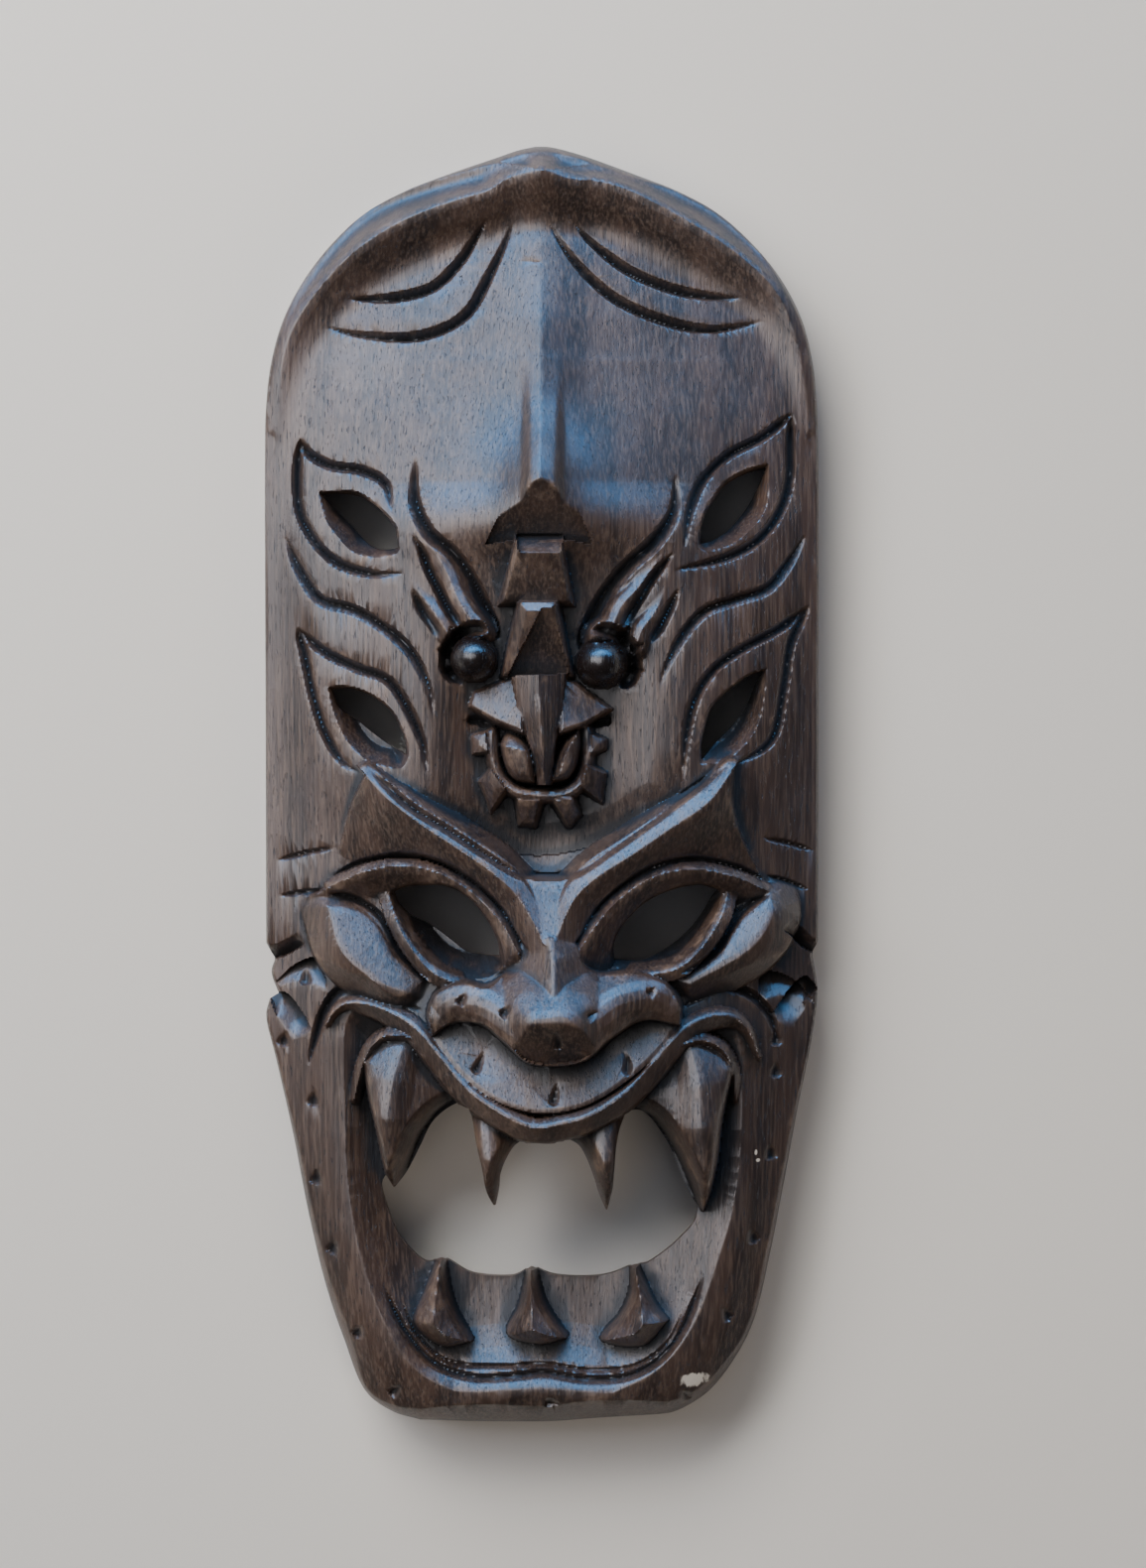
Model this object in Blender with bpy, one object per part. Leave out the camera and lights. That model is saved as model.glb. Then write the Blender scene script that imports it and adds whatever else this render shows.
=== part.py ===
# A carved wooden mask: a tall demon face with a horned dragon on its forehead, hollowed from behind.
# It lies on its back rim: +Z is the way the face looks, +Y its top, the origin under the middle of it.
import bmesh
import bpy
import numpy as np

NAME = "ifugao mask"

# driving sizes, in metres
LENGTH = 0.360
WIDTH = 0.156
DEPTH = 0.055
RIM = 0.010
WALL = 0.011
THIN = 0.003

# the carving is drawn in 360ths of the length, 156ths of the width and 55ths of the depth
LONG = LENGTH / 360
BROAD = WIDTH / 156
DEEP = DEPTH / 55

# spacing of the carved surface, and how many triangles are kept of it
GRAIN = 0.8
TRIANGLES = 9400

TILE = 10.0
WALL_FOOT = 1.3


def smooth(t):
    t = np.clip(t, 0.0, 1.0)
    return t * t * (3.0 - 2.0 * t)


def curve(*points, gap=0.5):
    """A smooth line through the points, as closely spaced points."""
    p = np.array(points, float)
    p = np.vstack([2 * p[0] - p[1], p, 2 * p[-1] - p[-2]])
    line = []
    for a, b, c, d in zip(p, p[1:], p[2:], p[3:]):
        k0, k1, k2 = (max(np.linalg.norm(v), 1e-6) ** 0.5 for v in (b - a, c - b, d - c))
        m1 = (c - b) + k1 * ((b - a) / k0 - (c - a) / (k0 + k1))
        m2 = (c - b) + k1 * ((d - c) / k2 - (d - b) / (k1 + k2))
        count = int(np.ceil(np.linalg.norm(c - b) / gap))
        t = np.arange(count)[:, None] / count
        line.append(b + t * (m1 + t * (3 * (c - b) - 2 * m1 - m2 + t * (2 * (b - c) + m1 + m2))))
    return np.vstack(line + [p[-2]])


def loop(*sides):
    """Smooth lines joined end to end at corners into a closed outline."""
    return np.vstack([curve(*side)[:-1] for side in sides])


def nearest(x, y, line, closed=False):
    """Distance, share of the way along and side (+1 on the left of travel) of a line's nearest point."""
    a = line
    b = np.roll(line, -1, axis=0)
    if not closed:
        a, b = a[:-1], b[:-1]
    d = b - a
    length = np.hypot(d[:, 0], d[:, 1])
    start = np.concatenate([[0], np.cumsum(length)])
    middle = 0.5 * (a + b)
    dist, share, side = np.empty((3, len(x)))
    tile = np.floor(x / TILE).astype(int) * 1000 + np.floor(y / TILE).astype(int)
    order = np.argsort(tile, kind="stable")
    cuts = np.flatnonzero(np.diff(tile[order])) + 1
    for i in np.split(order, cuts):
        if not len(i):
            continue
        cx, cy = x[i].mean(), y[i].mean()
        away = np.hypot(middle[:, 0] - cx, middle[:, 1] - cy) - 0.5 * length
        k = np.flatnonzero(away < (away + length).min() + 1.5 * TILE)
        px, py = x[i, None] - a[k, 0], y[i, None] - a[k, 1]
        dx, dy = d[k, 0], d[k, 1]
        t = np.clip((px * dx + py * dy) / length[k] ** 2, 0, 1)
        ex, ey = px - t * dx, py - t * dy
        sq = ex * ex + ey * ey
        best = sq.argmin(axis=1)
        rows = np.arange(len(i))
        dist[i] = np.sqrt(sq[rows, best])
        share[i] = (start[k[best]] + t[rows, best] * length[k[best]]) / start[-1]
        side[i] = np.sign(dx[best] * py[rows, best] - dy[best] * px[rows, best])
    return dist, share, side


def inside(x, y, line):
    """Distance to a closed outline, positive inside it."""
    dist, _, _ = nearest(x, y, line, closed=True)
    within = np.zeros(len(x), bool)
    for (x1, y1), (x2, y2) in zip(line, np.roll(line, -1, axis=0)):
        if y1 != y2:
            i = np.flatnonzero((y >= min(y1, y2)) & (y < max(y1, y2)))
            within[i] ^= x[i] < (x2 - x1) * (y[i] - y1) / (y2 - y1) + x1
    return np.where(within, dist, -dist)


def soft_max(a, b, k):
    if not k:
        return np.maximum(a, b)
    h = np.clip(0.5 + 0.5 * (a - b) / k, 0, 1)
    return b + (a - b) * h + k * h * (1 - h)


def soft_min(a, b, k):
    return -soft_max(-a, -b, k)


class Block:
    """The front of the block: a height for each point of the plan, worked like wood."""

    def __init__(self, x, y):
        self.x, self.y = x, y
        self.z = np.zeros(len(x))

    def around(self, line, reach):
        lo, hi = line.min(0) - reach, line.max(0) + reach
        return np.flatnonzero((self.x > lo[0]) & (self.x < hi[0]) & (self.y > lo[1]) & (self.y < hi[1]))

    def sweep(self, line, heights, section, how="max", soft=0.0, width=None, cut=False):
        """A section moved along a line. section is (offset, drop) pairs, with offsets positive on the left
        of travel. heights are absolute and evenly spaced along the line, and so is width, which scales the
        offsets. cut stops it square at the line's ends."""
        s = np.array(section, float)
        widest = max(width) if width is not None else 1.0
        reach = np.abs(s[:, 0]).max() * widest
        i = self.around(line, reach)
        dist, share, side = nearest(self.x[i], self.y[i], line)
        across = dist * np.where(side == 0, 1, side)
        if width is not None:
            across = across / np.maximum(along(share, width), 1e-3)
        keep = (across >= s[0, 0]) & (across <= s[-1, 0])
        if cut:
            keep &= (share > 0) & (share < 1)
        i, share, across = i[keep], share[keep], across[keep]
        top = along(share, heights) + np.interp(across, s[:, 0], s[:, 1])
        z = self.z[i]
        self.z[i] = soft_max(z, top, soft) if how == "max" else soft_min(z, top, soft)

    def groove(self, line, width, depth, lean=0.0, ends=(0.3, 0.3), flat=0.0):
        """A knife or gouge cut into the surface that is there, thinning out at its ends.
        lean from -1 to 1 moves the bottom to the right or left side, and flat is the share of the width
        that is flat."""
        i = self.around(line, width)
        dist, share, side = nearest(self.x[i], self.y[i], line)
        full = np.minimum(swell(share, ends[0]), swell(1 - share, ends[1]))
        half = 0.5 * width * (0.25 + 0.75 * full)
        across = dist * side
        bottom = lean * half
        wall = np.where(across > bottom, half - bottom, half + bottom)
        u = np.abs(across - bottom) / np.maximum(wall, 1e-3)
        shape = np.clip((1 - u) / (1 - flat), 0, 1)
        self.z[i] -= depth * full * shape

    def step(self, line, reach, depth, side=1, ends=(0.0, 0.0)):
        """A stop cut along a line, and the wood beside it on one side pared down to its foot."""
        i = self.around(line, reach)
        dist, share, where = nearest(self.x[i], self.y[i], line)
        full = np.minimum(swell(share, ends[0]), swell(1 - share, ends[1]))
        u = np.clip(1 - dist / reach, 0, 1) * (where * side > 0) * (share > 0) * (share < 1)
        self.z[i] -= depth * full * u

    def plate(self, outline, top, edge, how="max", soft=0.0):
        """A face inside a closed outline. top(x, y) gives its height and edge is (distance inside, drop)
        pairs. A raised face has a steep wall outside its edge."""
        e = np.array(edge, float)
        if how == "max":
            e = np.vstack([[e[0, 0] - WALL_FOOT, e[0, 1] - 9.0], e])
        i = self.around(outline, max(-e[0, 0], 0) + 0.01)
        d = inside(self.x[i], self.y[i], outline)
        keep = d >= e[0, 0]
        i, d = i[keep], d[keep]
        face = top(self.x[i], self.y[i]) + np.interp(d, e[:, 0], e[:, 1])
        z = self.z[i]
        self.z[i] = soft_max(z, face, soft) if how == "max" else soft_min(z, face, soft)

    def facet(self, outline, line, heights, section, how="max", soft=0.0):
        """A face inside a closed outline whose height falls with the distance from a line."""
        e = np.array(section, float)
        i = self.around(outline, WALL_FOOT)
        d = inside(self.x[i], self.y[i], outline)
        i, d = i[d > -WALL_FOOT], d[d > -WALL_FOOT]
        dist, share, _ = nearest(self.x[i], self.y[i], line)
        face = along(share, heights) + np.interp(dist, e[:, 0], e[:, 1])
        face += 9.0 / WALL_FOOT * np.minimum(d, 0)
        z = self.z[i]
        self.z[i] = soft_max(z, face, soft) if how == "max" else soft_min(z, face, soft)

    def dome(self, centre, radius, rise, top):
        """A rounded lump, joined on with its top at that height."""
        cx, cy = centre
        i = np.flatnonzero((np.abs(self.x - cx) < radius) & (np.abs(self.y - cy) < radius))
        r = 1 - ((self.x[i] - cx) / radius) ** 2 - ((self.y[i] - cy) / radius) ** 2
        i, r = i[r > 0], r[r > 0]
        self.z[i] = np.maximum(self.z[i], top - rise + rise * np.sqrt(r))


def swell(t, share):
    return np.ones_like(t) if share <= 0 else np.sin(0.5 * np.pi * np.clip(t / share, 0, 1))


def along(share, values):
    values = np.atleast_1d(values)
    return np.interp(share, np.linspace(0, 1, len(values)), values)


def slope(p, q, r):
    """The plane through three points (x, y, z), as a height for any x and y."""
    p, q, r = (np.array(v, float) for v in (p, q, r))
    n = np.cross(q - p, r - p)
    return lambda x, y: p[2] - (n[0] * (x - p[0]) + n[1] * (y - p[1])) / n[2]


OUTLINE = loop(
    [(-2, 179.8), (2, 179.7), (8, 178.3), (14, 176.4), (27, 171.6), (38, 167.3), (49, 161.3), (59, 152.6),
     (67.2, 142.6), (73.2, 131), (76.2, 119), (77.5, 106), (77.9, 90), (77.9, 20), (77.8, -44)],
    [(77.8, -44), (76.1, -47.8)],
    [(76.1, -47.8), (77.6, -57.9), (76.1, -71.2), (72, -91.5), (68.4, -110.9), (64.5, -131), (59.6, -151.2),
     (54.6, -161.3), (46.6, -171.4), (37.3, -176.9), (32.9, -177.7)],
    [(32.9, -177.7), (14.2, -178.8), (3.3, -179.6), (-15, -179.7), (-34.6, -179.2)],
    [(-34.6, -179.2), (-42.2, -176.9), (-49.7, -171.4), (-56, -156.3), (-61.1, -141.1), (-65.9, -121),
     (-70.3, -98.6), (-74.9, -78.3), (-77.9, -65), (-76.9, -60.5)],
    [(-76.9, -60.5), (-74.4, -59)],
    [(-74.4, -59), (-76.4, -52.9), (-75.4, -49.3)],
    [(-75.4, -49.3), (-77.9, -44.7)],
    [(-77.9, -44.7), (-78.1, 20), (-78.3, 90), (-78, 106), (-76.5, 119), (-73.1, 131), (-67.4, 142),
     (-59.6, 152.2),
     (-50, 161), (-39.3, 167), (-27.7, 171.6), (-13.4, 176.5), (-7, 178.7), (-2, 179.8)],
)

LEFT_EYES = [
    loop([(-62.3, 81.5), (-59.8, 82), (-51.6, 81), (-47.3, 78.4), (-44, 75.4), (-40.9, 71.5),
          (-39.9, 65.6)],
         [(-39.9, 65.6), (-44, 65.2), (-48, 66.7), (-54, 73), (-60, 79), (-62.3, 81.5)]),
    loop([(-59.2, 26.8), (-55, 27), (-50.3, 25.8), (-45.6, 23.4), (-42, 20.2), (-39.4, 16), (-37.8, 11.5),
          (-37.6, 8)],
         [(-37.6, 8), (-42, 10.5), (-47, 14), (-52, 18), (-57, 21.5), (-59.2, 26.8)]),
]
RIGHT_EYES = [
    loop([(63, 89), (60, 88.5), (55, 86.5), (51, 83.7), (48, 79.6), (45.5, 75.4), (44.1, 70.7),
          (43.9, 66.6)],
         [(43.9, 66.6), (48, 68.2), (52, 71), (56, 75.5), (59.5, 81), (63, 89)]),
    loop([(62.2, 31.8), (58, 30.5), (54, 27.7), (50.8, 25.1), (47, 21), (45, 15), (44.2, 10.5),
          (44.4, 6.6)],
         [(44.4, 6.6), (49, 12), (53, 16), (57, 21), (60, 28), (62.2, 31.8)]),
]
FACE_EYES = [
    loop([(-41.5, -30), (-38, -28.5), (-33, -28), (-28, -28), (-24, -29), (-20, -31.5), (-17, -34.5),
          (-14, -39),
          (-12, -44), (-11.6, -47.7)],
         [(-11.6, -47.7), (-17, -47.5), (-21, -46.8), (-25, -44), (-29, -41), (-33, -38.5), (-37, -36.5),
          (-40.5, -33), (-41.5, -30)]),
    loop([(20, -48.8), (20, -44), (22, -39.5), (25, -36), (29, -32.5), (34, -30), (39, -28.5), (44, -28),
          (49.5, -29.5)],
         [(49.5, -29.5), (48, -31), (45, -36), (41, -41), (37, -44.5), (33, -47), (28, -49), (20, -48.8)]),
]
MOUTH = loop(
    [(-41.2, -112.5), (-38.5, -109.5), (-36.5, -106), (-34, -101), (-31, -95), (-27, -91), (-22.5, -88.3)],
    [(-22.5, -88.3), (-20, -89)],
    [(-20, -89), (-19, -93), (-18, -99), (-16.5, -105), (-15, -113), (-13, -117.5)],
    [(-13, -117.5), (-12, -113), (-11.5, -108), (-9.5, -103), (-7, -99.7), (-2, -98.5), (2, -98.8),
     (7, -99),
     (10, -100), (12.5, -104), (14.5, -109), (16, -114), (18, -118.5)],
    [(18, -118.5), (19.5, -112), (20, -106), (20.5, -100), (21.5, -95), (23, -91.4)],
    [(23, -91.4), (27, -91), (30, -93), (33, -97), (36, -102), (38.5, -108), (40.5, -113), (43.6, -118.3)],
    [(43.6, -118.3), (43, -122), (38, -128), (32, -133), (29, -134.8), (26, -135)],
    [(26, -135), (24, -135.8), (20, -137.5), (15, -138.5), (3, -138), (-3, -135.5)],
    [(-3, -135.5), (-7, -138), (-10, -138.5), (-20, -137.5), (-26, -134), (-28.3, -133)],
    [(-28.3, -133), (-32, -134.3), (-34.5, -133), (-40.5, -126), (-44, -117), (-45, -112), (-43.6, -109)],
    [(-43.6, -109), (-41.2, -112.5)],
)
HOLES = LEFT_EYES + RIGHT_EYES + FACE_EYES + [MOUTH]

# Heights of the uncarved block: rows down the mask, columns from the middle to the side.
SHARES = (0, 0.2, 0.4, 0.6, 0.8, 1.0)
ROWS = (
    (182, 17, 17, 17, 16, 15, 14.5),
    (170, 19, 17.5, 16, 15, 14, 14.5),
    (160, 17.5, 15.2, 13.8, 13, 12.6, 14.5),
    (150, 19.8, 17.8, 16, 14.4, 13.2, 14.5),
    (140, 22, 20, 18, 16, 14, 14.5),
    (130, 24.2, 22, 20, 17.6, 15, 14.5),
    (118, 26.8, 24.4, 22.2, 19.6, 16.5, 14.5),
    (102, 31, 28, 25.4, 22.3, 18.5, 14.5),
    (84, 40.5, 33.5, 29, 25, 20.3, 14.5),
    (72, 42, 37, 32.5, 27.5, 21.5, 14.5),
    (60, 35, 33, 31.5, 28, 22, 14.5),
    (50, 31, 30.5, 31, 28, 22, 14.5),
    (40, 28, 28.5, 30.5, 28, 22, 14.5),
    (20, 24, 25.5, 30, 28, 22, 14.5),
    (0, 22, 24.5, 29, 27.5, 21, 14.5),
    (-20, 22, 24, 27, 25, 20, 14.5),
    (-50, 36, 33, 29, 26, 20, 14.5),
    (-75, 36, 36, 33, 28, 21, 14.5),
    (-100, 34, 34, 31, 27, 22, 15),
    (-130, 26, 26, 26, 25.5, 23, 15),
    (-160, 26, 26, 26, 25, 22, 15),
    (-181, 24, 24, 23, 21, 18, 15),
)


def block(x, y):
    """Height of the uncarved block, read smoothly between the rows and columns of the table."""
    rows = np.array(ROWS)[::-1]
    ys, table = rows[:, 0], rows[:, 1:]
    row = np.clip(np.searchsorted(ys, y) - 1, 0, len(ys) - 2)
    down = np.clip((y - ys[row]) / (ys[row + 1] - ys[row]), 0, 1)
    u = np.clip(np.abs(x) / side_at(y), 0, 1) * (len(SHARES) - 1)
    column = np.clip(np.floor(u).astype(int), 0, len(SHARES) - 2)

    def across(r):
        r = np.clip(r, 0, len(ys) - 1)
        near = [table[r, np.minimum(np.abs(column + k), len(SHARES) - 1)] for k in (-1, 0, 1, 2)]
        return cubic(near, u - column)

    return cubic([across(row + k) for k in (-1, 0, 1, 2)], down)


def cubic(v, t):
    a, b, c, d = v
    return b + 0.5 * t * (c - a + t * (2 * a - 5 * b + 4 * c - d + t * (3 * b - 3 * c + d - a)))


def side_at(y):
    """Half the width the block's columns are spread over."""
    return np.interp(y, (-180, -171, -161, -151, -131, -111, -91, -71, -58, 100, 111, 131, 151, 161,
                         171, 180),
                     (47, 52, 57, 61, 66, 70, 73.5, 77, 78, 78, 77.5, 75, 66, 62, 58, 56))


def leaf(b, tip, upper, lower):
    """Two knife lines that meet in a point round an eye."""
    for branch in (upper, lower):
        b.groove(curve(tip, *branch), 3.2, 2.9, ends=(0.12, 0.3))


def forehead(b):
    rim_left = curve((0, 171), (-9.6, 169), (-14.8, 165.8), (-23, 163.4), (-31.6, 160.6), (-40, 157),
                     (-52.6, 149), (-62, 139.6), (-70, 128), (-73.5, 116), (-75, 100))
    rim_right = curve((0, 171), (7, 169), (14.6, 168.4), (23, 166.3), (38.8, 158.5), (54.5, 148.5),
                      (66, 137.5), (71.5, 125), (74, 112), (75, 100))
    shape = ((-9, -14), (-1.5, -1.4), (0, 0), (2, -0.6), (6, -2.8), (12, -7.5), (22, -14))
    heights = (24.5, 23, 22.5, 22, 21.5, 20.5, 19, 17.5, 16, 15, 14)
    b.sweep(rim_left, heights, shape, soft=4.5)
    b.sweep(rim_right, heights, [(-o, d) for o, d in shape][::-1], soft=4.5)
    b.z += 2.4 * np.clip(1 - np.abs(b.x + 0.4) / 13, 0,
                         1) ** 2 * smooth((b.y - 76) / 8) * smooth((150 - b.y) / 30)
    b.z += 2.0 * smooth((6.5 - np.abs(b.x - 0.4)) / 3.5) * smooth((b.y - 72) / 8) * smooth((122 - b.y) / 30)
    # the crescents under the rim
    b.groove(curve((-15.5, 158.5), (-19, 153), (-22.7, 147.3), (-30.6, 139.5), (-42, 136.6), (-55, 136.5)),
             3.4, 3.2, lean=0.4, ends=(0.35, 0.35))
    b.groove(curve((-8, 157.7), (-14, 144.2), (-21.6, 131.1), (-33.2, 125.6), (-50, 126), (-61.3, 128.6)),
             3.4, 3.2, lean=0.4, ends=(0.35, 0.4))
    b.groove(curve((8.8, 157.7), (13, 152.9), (24, 144.3), (36.7, 139), (50, 136.8), (56, 136.7)),
             3.4, 3.2, lean=-0.4, ends=(0.35, 0.35))
    b.groove(curve((1.6, 157.8), (9.3, 146.3), (19.9, 136.3), (34.6, 129.7), (47.2, 127.6), (62.3, 130.2)),
             3.4, 3.2, lean=-0.4, ends=(0.35, 0.4))
    b.groove(curve((-6, 146.4), (0, 146)), 1.2, 0.35)


def waves(b):
    leaf(b, (-68, 97), [(-66.4, 93.6), (-59.8, 89.3), (-50, 87.3), (-43.5, 83.4), (-41.7, 75.7)],
         [(-68.8, 85), (-67.7, 75.6), (-63.4, 67.7), (-57.1, 61.7), (-47.3, 58.4), (-38, 58.2)])
    leaf(b, (-68.8, 43.8), [(-61, 37.1), (-51.6, 32.4), (-42.9, 28.9), (-37.5, 21.5), (-33, 11),
                            (-31.8, 3)],
         [(-66.9, 38), (-64, 24.8), (-60, 13), (-55.5, 6), (-51, 3.2)])
    leaf(b, (70.2, 104), [(61.7, 97.2), (51.3, 91.3), (44.2, 83.5), (40.9, 74.7), (39.5, 65)],
         [(69.7, 97), (69.3, 85), (66.3, 75.8), (60.2, 68), (51.3, 63), (36.6, 59)])
    leaf(b, (75, 50.1), [(66, 43.3), (56.4, 38), (48, 32), (42.5, 23.5), (40, 13), (39, 1)],
         [(69.9, 40), (68, 29), (65.1, 14.2), (62.2, 10.2), (54, 5.4)])
    b.groove(curve((-72.4, 69.6), (-68, 59.7), (-62, 51.4), (-52.5, 48.4), (-44, 43.4), (-36.9, 37.1),
                   (-32, 28.3),
                   (-30, 19)), 3.5, 3.0, lean=0.3, ends=(0.2, 0.35))
    b.groove(curve((74.1, 70), (68.8, 61.4), (63.2, 54.7), (54, 51.2), (45.2, 47.8), (39, 40.8), (34.5, 32),
                   (33, 27.4)), 3.5, 3.0, lean=-0.3, ends=(0.2, 0.35))
    # the front lips of the four eye holes, sloping in to the cut-through edge
    for rim in (
        loop([(-62.6, 82), (-51.6, 81.6), (-47.3, 78.8), (-44, 75.8), (-40.4, 71.5), (-39.4, 65)],
             [(-39.4, 65), (-40, 64), (-45, 63), (-49.5, 63.4), (-53.3, 65), (-57.1, 69.2), (-60.1, 73.2),
              (-62.6, 82)]),
        loop([(-59.8, 27.3), (-55, 27.5), (-50.3, 26.3), (-45.6, 24), (-41.5, 20.5), (-39, 16),
              (-37.2, 11.5),
              (-36.9, 7.8)],
             [(-36.9, 7.8), (-38.7, 4.6), (-44.5, 5.2), (-49, 6.9), (-54.5, 12.3), (-58.4, 21.2),
              (-59.8, 27.3)]),
        loop([(63.6, 89.8), (60, 89), (55, 87), (50.6, 84.2), (47.5, 80), (45, 75.6), (43.6, 70.9),
              (43.3, 66)],
             [(43.3, 66), (45.2, 64.7), (50.1, 65.6), (54.3, 67.6), (60.8, 73.9), (62.8, 78),
              (63.6, 89.8)]),
        loop([(62.8, 32.4), (58, 31), (54, 28.3), (50.4, 25.6), (46.5, 21.3), (44.5, 15), (43.6, 10.5),
              (43.8, 5.4)],
             [(43.8, 5.4), (49.1, 6.1), (54.1, 8.6), (59.9, 15.8), (62.3, 26), (62.8, 32.4)]),
    ):
        i = b.around(rim, 0.5)
        d = inside(b.x[i], b.y[i], rim)
        b.z[i] -= np.interp(d, (0, 0.6, 5), (0, 1.2, 9))
    for p, q in (((-74.5, -21.5), (-58, -17.8)), ((-74, -31.5), (-60, -29.8)),
                 ((76.5, -18.8), (61.5, -15)), ((75, -29.8), (62.5, -25.5))):
        m = ((p[0] + q[0]) / 2, (p[1] + q[1]) / 2 + 0.4)
        b.groove(curve(p, m, q), 1.8, 1.5)


def dragon(b):
    # the long neck coming out of the ridge in three cut steps
    b.plate(loop([(-15.5, 66), (-13, 71), (-10, 76), (-6, 81), (0, 84.5), (6, 80.5), (10.5, 74), (14, 66)],
                 [(14, 66), (8, 67), (0, 67.5), (-9, 67), (-15.5, 66)]),
            slope((0, 84, 45.5), (-12, 67, 34), (12, 67, 34)), ((0, 0), (5, 0)), how="min")
    b.plate(loop([(-6.5, 68), (5, 68)], [(5, 68), (9, 49.3)], [(9, 49.3), (-12, 49.3)],
            [(-12, 49.3), (-6.5, 68)]),
            slope((0, 64, 42.5), (-10, 50, 36), (10, 50, 36)), ((0, -2), (1.2, 0)))
    b.plate(loop([(-7, 69), (6, 69)], [(6, 69), (5, 63)], [(5, 63), (-6, 63)], [(-6, 63), (-7, 69)]),
            slope((0, 63, 42.8), (-6, 68, 35), (6, 68, 35)), ((0, 0), (1, 0)), how="min")
    b.plate(loop([(-6, 50), (4, 50)], [(4, 50), (8.5, 29.8)], [(8.5, 29.8), (-11, 29.8)],
            [(-11, 29.8), (-6, 50)]),
            slope((0, 48, 41.5), (-9, 31, 35), (8, 31, 35)), ((0, -2.5), (2.5, 0)))
    b.plate(loop([(0.2, 48.5), (3, 48.5)], [(3, 48.5), (7.5, 29.7)], [(7.5, 29.7), (-9.3, 29.7)],
                 [(-9.3, 29.7), (0.2, 48.5)]),
            slope((0, 48, 40.5), (-9, 30, 30.5), (8, 30, 30.5)), ((0, 0), (1, 0)), how="min")
    # horns: two strands a side over a valley
    for side, groove_a, valley, one, groove_b, two, outer in (
        (-1, [(-35.2, 90.5), (-35.2, 78), (-31.5, 69.7), (-24.8, 63.7), (-20.5, 58), (-15, 47), (-12, 40)],
         4.4, [(-35, 68), (-30, 64.5), (-26, 58), (-23.5, 52), (-20, 46), (-17, 43)],
         [(-36, 69), (-33.5, 65), (-31.3, 59.5), (-26, 49), (-21.5, 42)],
         [(-37, 58), (-33, 52), (-30, 48), (-26, 42)], [(-36, 54), (-33, 48), (-30, 44), (-27, 39.5)]),
        (1, [(37.4, 86), (36.5, 75), (31, 66.6), (24, 60.3), (17, 51.5), (12.5, 42), (10.5, 37)],
         4.8, [(34, 64), (30, 59), (26, 53.5), (22, 49), (19, 43), (15.5, 41)],
         [(36.4, 64), (31, 57.5), (27.5, 52), (24, 46.5), (21.5, 41.5)],
         [(35, 57), (33, 51), (31, 47), (28, 43), (26, 38)], [(38, 54), (35, 48), (33, 44), (30, 39)]),
    ):
        b.sweep(curve(*one), (31, 32.5, 34, 36, 37.5), ((-5, -6.5), (-2, -1.2), (0, 0), (2, -1.2),
                                                        (5, -6.5)), soft=1.0)
        b.sweep(curve(*two), (29.5, 31, 32.5, 34, 34.5), ((-4.5, -6), (-2, -1.2), (0, 0), (2, -1.2),
                                                          (4.5, -6)), soft=1.0)
        b.groove(curve(*groove_a), valley, 4.2, lean=-0.3 * side, ends=(0.35, 0.1))
        b.groove(curve(*groove_b), 3.2, 3.2, ends=(0.3, 0.2))
        b.groove(curve(*outer), 3.4, 2.6, ends=(0.4, 0.3))
    # sockets, eyes
    for line in ([(-14.5, 42), (-18.5, 43), (-23, 41), (-26, 37), (-26, 32), (-22.5, 27.5)],
                 [(13.5, 42), (17.5, 42.5), (22, 40.8), (25, 36.5), (25.2, 31), (22, 26.5)]):
        b.groove(curve(*line), 4.6, 6, ends=(0.15, 0.15), flat=0.3)
    for line in ([(-25.5, 43.5), (-22.5, 39.5)], [(-29, 37.5), (-25, 36)], [(-28, 30.5), (-24.5, 32)],
                 [(24.5, 44), (21.5, 39.5)], [(28.5, 39), (24.5, 37)], [(28.5, 31), (24.5, 32.5)]):
        b.groove(curve(*line), 3.0, 3.5, ends=(0.7, 0.2))
    b.dome((-18.7, 34.8), 6.6, 10, 39)
    b.dome((16.5, 33.6), 7.2, 11, 39.5)
    # cheeks and muzzle
    b.plate(loop([(-9, 29.5), (-19, 25.8)], [(-19, 25.8), (-20.3, 21.5)], [(-20.3, 21.5), (-13, 17.3)],
                 [(-13, 17.3), (-5, 14)], [(-5, 14), (-5, 29.5)], [(-5, 29.5), (-9, 29.5)]),
            slope((-9, 29, 31), (-20, 22, 30.2), (-7, 15, 36.2)), ((0, -1), (0.8, 0)))
    b.plate(loop([(5, 29.5), (9, 28.5), (13, 25.5), (19.4, 20.8)], [(19.4, 20.8), (12.3, 16.5)],
                 [(12.3, 16.5), (5, 14)], [(5, 14), (5, 29.5)]),
            slope((8, 29, 31), (19.5, 21, 30.2), (6, 15, 36.2)), ((0, -1), (0.8, 0)))
    b.plate(loop([(-11, 11), (-9.8, 5), (-7.5, 1.5), (-2.2, 0.6)], [(-2.2, 0.6), (-2.4, 6), (-4.2, 11)],
                 [(-4.2, 11), (-6, 13.5), (-9.5, 14.2), (-11, 11)]),
            lambda x, y: np.minimum(slope((-8, 10, 35.8), (-3, 2, 35.2), (-10, 3, 33.8))(x, y),
                                    35.8 - 0.9 * (y - 10)),
            ((0, -2.5), (1.0, -0.5), (2, 0)))
    b.plate(loop([(10.3, 15.4), (7, 12), (4.7, 7), (3, 1)], [(3, 1), (7, 1.7), (9.3, 5), (10.3, 10),
                                                             (10.3, 15.4)]),
            slope((8, 14, 34.5), (3, 8, 36), (8, 1, 34)), ((0, -2.5), (1.4, 0)))
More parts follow.
